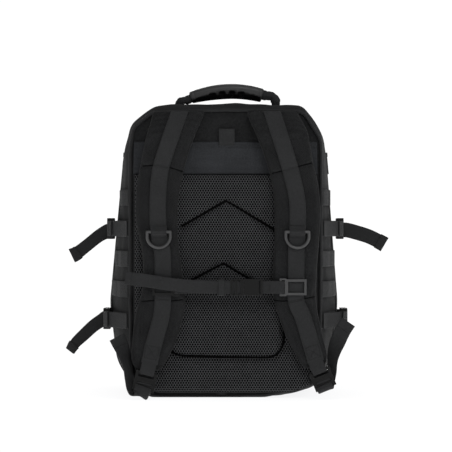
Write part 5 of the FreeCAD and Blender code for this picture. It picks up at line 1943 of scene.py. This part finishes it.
def front_rows():
    """Webbing rows on the lower pocket."""
    tape, thread = Parts(), Parts()
    xs = np.linspace(-105, 105, 170)
    bars = np.linspace(-102, 102, 7)
    rise = 1.2 * arches(xs, bars, 0.7)
    for z in (64.5, 111.5, 158.5):
        path = np.array([(x, max(LOWER_SURFACE.front(x, z)[1] + 0.85, 137.6) + k, z)
                         for x, k in zip(xs, rise)])
        tape.ribbon(path, Z_AXIS, ROW_WIDTH, ROW_THICK)
        for bar in bars:
            centre = path[int(np.argmin(np.abs(xs - bar)))]
            for dx in (-0.8, 0.8):
                thread.bar(centre + vec(dx, 0.75, 0), Z_AXIS * 11.2, Y_AXIS, 14, **BARTACK)
    tape.make("front_rows_tape", MAT["web"], "lower_pocket", replaces=("lower_pocket_molle",),
              slot="webbing")
    thread.make("front_rows_bartacks", MAT["thread"], "lower_pocket", slot="webbing")


loop_field()
front_rows()


# ---------------------------------------------------------------- inside
def soft_panel(name, outline, y0, y1, body, replaced, seed):
    """Panel standing in the x-z plane: rounded rim, gently uneven faces."""
    ring = round_polygon(outline, 8.0, 5.0)
    normals = ring_normals(ring)
    centre = ring.mean(0)
    mid, half = (y0 + y1) / 2, (y1 - y0) / 2
    face_ring = ring - normals * half
    rim = [at_y(ring - normals * (half * (1 - math.cos(a))), mid + half * 0.96 * math.sin(a))
           for a in np.radians(np.linspace(-90, 90, 7))]

    def face(sign):
        rows = []
        for s in np.linspace(1, 0, 11)[1:-1]:
            p = at_y(centre + (face_ring - centre) * s, mid + sign * half * 0.96)
            dents = 0.35 * half * np.abs(wobble(p, wave=60, seed=seed))
            p[:, 1] -= sign * dents * (1 - s ** 5)
            rows.append(p)
        return rows

    rings = face(-1)[::-1] + rim + face(1)
    ends = [[centre[0], ring[:, 1].mean(), centre[1]] for ring in (rings[0], rings[-1])]
    verts, faces = closed_skin(rings, *ends)
    fix_normals(make(name, verts, faces, MAT["lining"], body, replaces=(replaced,),
                     slot="lining"))


soft_panel("hydration_sleeve_fabric",
           [(-112, 60), (112, 60), (112, 380), (96, 400), (-96, 400), (-112, 380)],
           -94.5, -89.7, "rear_half", "hydration_sleeve", seed=401)
soft_panel("organizer_panel_fabric", [(-120, 60), (120, 60), (120, 330), (-120, 330)],
           50.5, 52.6, "front_half", "organizer_panel", seed=403)


def organizer_loops():
    """Three elastic rows on the organizer panel."""
    tape, thread = Parts(), Parts()
    x = np.linspace(-114, 114, 180)
    bars = np.linspace(-112, 112, 8)
    y = 52.9 + 2.3 * arches(x, bars, 0.8)
    for z in (110.0, 180.0, 250.0):
        path = np.stack([x, y, np.full_like(x, z)], 1)
        tape.ribbon(path, Z_AXIS, 38.0, 0.9)
        for bar in bars:
            thread.bar(path[int(np.argmin(np.abs(x - bar)))] + vec(0, 0.5, 0), Z_AXIS * 17,
                       Y_AXIS, 18, pitch=1.7, dash=1.5, width=0.8, height=0.4)
    tape.make("organizer_elastic_loops", MAT["web"], "front_half", slot="webbing")
    thread.make("organizer_stitches", MAT["thread"], "front_half", slot="webbing")


organizer_loops()

# shelf outline, (x, y)
SHELF = [(-143, -88), (143, -88), (150, -74), (155, -14), (-155, -14), (-150, -74)]


def divider(number, base_z, replaced):
    """Padded shelf across the rear half."""
    ring = round_polygon(SHELF, 8.0, 5.0)
    normals = ring_normals(ring)
    centre = ring.mean(0)
    edge, half = 3.0, 2.9
    mid = base_z + edge
    face_ring = ring - normals * edge

    def layer(plan, z):
        return np.column_stack([plan, np.full(len(plan), z)])

    def face(sign, shares, seed):
        rows = []
        for s in shares:
            p = layer(centre + (face_ring - centre) * s, mid + sign * half)
            p[:, 2] -= sign * 0.7 * np.abs(wobble(p, wave=55, seed=seed)) * (1 - s ** 5)
            rows.append(p)
        return rows

    rim = [layer(ring - normals * (edge * (1 - math.cos(a))), mid + half * math.sin(a))
           for a in np.radians(np.linspace(-90, 90, 7)[1:-1])]
    rings = (face(-1, np.linspace(0, 1, 10)[1:], 499 + number) + rim
             + face(1, np.linspace(1, 0, 10)[:-1], 509 + number))
    verts, faces = closed_skin(rings, [*centre, mid - half + 0.3], [*centre, mid + half - 0.3])
    fix_normals(make("padded_divider_%d" % number, verts, faces, MAT["lining"], "rear_half",
                     replaces=replaced, slot="lining"))


divider(1, 152.0, ("padded_dividers",))
divider(2, 296.0, ())


def inner_net():
    """Net pocket inside the front half, in a bound frame."""
    half, low, top = 121, 64.0, 356
    corners, faces = hexagon_net(5.0, low, top, lambda z: half, 0.72, 0.72)
    x, z, rim = corners.T
    sag = 1.2 * np.sin(math.pi * np.clip((z - 60) / 300.0, 0, 1)) * np.cos(x / 80.0)
    verts = np.stack([np.clip(x, -half, half), 45.4 - 0.25 * rim - sag, np.clip(z, low, top)], 1)
    net = make("inner_net_panel", verts, faces, MAT["net"], "front_half", slot="air_mesh",
               replaces=("inner_mesh_pocket",))
    net.modifiers.new("t", "SOLIDIFY").thickness = 0.0004
    frame = [(-123, 62), (123, 62), (123, 358), (-123, 358), (-123, 62)]
    parts = Parts()
    for (x0, z0), (x1, z1) in zip(frame, frame[1:]):
        parts.ribbon(np.linspace(vec(x0, 45.2, z0), vec(x1, 45.2, z1), 50),
                     Z_AXIS if z0 == z1 else X_AXIS, 7.0, 1.6)
    parts.make("inner_net_frame", MAT["binding"], "front_half", slot="webbing")


inner_net()


# ---------------------------------------------------------------- parts kept from the CAD
def finish_cad(node, mat, bevel_width):
    """Give a CAD piece its material and, unless the width is 0, a small bevel (mm)."""
    obj = next((o for o in bpy.data.objects if o.name == node or o.name.startswith(node + ".")),
               None)
    if obj is None:                            # guards against a piece missing from the CAD
        return
    if len(obj.material_slots) == 0:
        obj.data.materials.append(mat)
    for material_slot in obj.material_slots:
        material_slot.material = mat
    if bevel_width:
        weld = obj.modifiers.new("weld", "WELD")
        weld.merge_threshold = 0.00001
        bevel = obj.modifiers.new("bevel", "BEVEL")
        bevel.width = bevel_width / 1000.0
        bevel.segments = 2
        bevel.limit_method = "ANGLE"
        bevel.angle_limit = math.radians(38)


for side, slider_mat in (("left", MAT["plastic"]), ("right", MAT["ring"])):
    finish_cad("d_ring_" + side, MAT["ring"], 0)
    finish_cad("ladder_lock_" + side, MAT["plastic"], 0.5)
    finish_cad("sternum_slider_" + side, slider_mat, 0.45)
for node in ("sternum_buckle_male", "sternum_buckle_female", "compression_females",
             "compression_male_upper_left", "compression_male_upper_right",
             "compression_male_lower_left", "compression_male_lower_right"):
    finish_cad(node, MAT["plastic"], 0.6)
finish_cad("frame_sheet", MAT["board"], 0.3)
for place in ("main_left", "main_right", "organizer", "upper_pocket", "lower_pocket"):
    finish_cad("zip_slider_" + place, MAT["zipmetal"], 0.25)
    finish_cad("zip_pull_" + place, MAT["grip"], 0.4)


# ---------------------------------------------------------------- stage, light and camera
def floor_material():
    """Pale and glowing for light rays; clear to the camera, with a painted contact shadow near
    objects.
    """
    shader = Shader("pale_floor")
    coords = shader.node("TexCoord").outputs["Object"]
    patches = shader.noise(coords, 3.0, 2.0)
    shader.set({
        "Base Color": shader.mix(patches, (0.86, 0.86, 0.86), (0.90, 0.90, 0.90)),
        "Roughness": 0.9,
        "Specular IOR Level": 0.0,
        "Emission Color": (1, 1, 1, 1),
        "Emission Strength": 0.86,
    })
    # painted contact shadow: ambient occlusion darkens the see-through floor near objects
    contact_shadow_ao = shader.node("AmbientOcclusion")
    contact_shadow_ao.inputs["Distance"].default_value = 0.16
    contact_shadow_ao.samples = 8
    tint = shader.mix(contact_shadow_ao.outputs["AO"], (0.84, 0.84, 0.85), (1.0, 1.0, 1.0))
    clear = shader.node("BsdfTransparent")
    shader.link(tint, clear.inputs[0])
    rays = shader.node("LightPath")
    chosen = shader.node("MixShader")
    shader.link(rays.outputs["Is Camera Ray"], chosen.inputs[0])
    shader.link(shader.bsdf.outputs[0], chosen.inputs[1])
    shader.link(clear.outputs[0], chosen.inputs[2])
    shader.link(chosen.outputs[0], shader.output.inputs[0])
    return shader.material


def floor():
    half, z = 60000, -0.6
    verts = [(-half, -half, z), (half, -half, z), (half, half, z), (-half, half, z)]
    make("floor", verts, [(0, 1, 2, 3)], floor_material(), None, smooth_shade=False)


def studio_world():
    """White surroundings, brighter to the camera than as a light."""
    world = bpy.data.worlds.new("studio")
    scene.world = world
    world.use_nodes = True
    nodes, links = world.node_tree.nodes, world.node_tree.links
    nodes.clear()
    output = nodes.new("ShaderNodeOutputWorld")
    seen = nodes.new("ShaderNodeBackground")
    lighting = nodes.new("ShaderNodeBackground")
    for background, strength in ((seen, 1.05), (lighting, 0.25)):
        background.inputs[0].default_value = (1, 1, 1, 1)
        background.inputs[1].default_value = strength
    rays = nodes.new("ShaderNodeLightPath")
    chosen = nodes.new("ShaderNodeMixShader")
    links.new(rays.outputs["Is Camera Ray"], chosen.inputs[0])
    links.new(lighting.outputs[0], chosen.inputs[1])
    links.new(seen.outputs[0], chosen.inputs[2])
    links.new(chosen.outputs[0], output.inputs[0])


def area_light(name, position, target, size, power):
    light = bpy.data.lights.new(name, "AREA")
    light.shape = "RECTANGLE"
    light.size, light.size_y = size
    light.energy = power
    obj = bpy.data.objects.new(name, light)
    scene.collection.objects.link(obj)
    obj.location = position
    aim = Vector(target) - Vector(position)
    obj.rotation_euler = aim.to_track_quat("-Z", "Y").to_euler()


def camera():
    """Level view of the harness side, from -Y."""
    distance, view_width, sensor = 2.7, 0.690, 36.0      # metres, metres, millimetres
    data = bpy.data.cameras.new("camera")
    data.sensor_width = sensor
    data.lens = sensor * distance / view_width
    data.clip_end = 100
    obj = bpy.data.objects.new("camera", data)
    scene.collection.objects.link(obj)
    obj.location = (0.001, (-120.0 + DRAWING_Y) / 1000 - distance, 0.263)
    obj.rotation_euler = (math.radians(90), 0, 0)
    scene.camera = obj


floor()
studio_world()
# name, position, target, size (all metres), power in watts
LIGHTS = [
    ("key", (0.5, -2.1, 2.0), (0, 0, 0.25), (0.8, 0.8), 22.5),
    ("fill", (-1.8, -1.8, 0.9), (0, 0, 0.22), (1.2, 1.5), 3.6),
    ("fill_right", (2.1, -1.5, 1.0), (0, 0, 0.22), (1.0, 1.3), 6.5),
    ("top", (0.1, 0.2, 2.4), (0, 0, 0.3), (1.6, 1.2), 5),
    ("back", (0.0, 2.9, 1.1), (0, 0.1, 0.22), (1.1, 0.9), 34),
]
for light in LIGHTS:
    area_light(*light)
camera()
scene.view_settings.view_transform = "Standard"
scene.view_settings.look = "None"
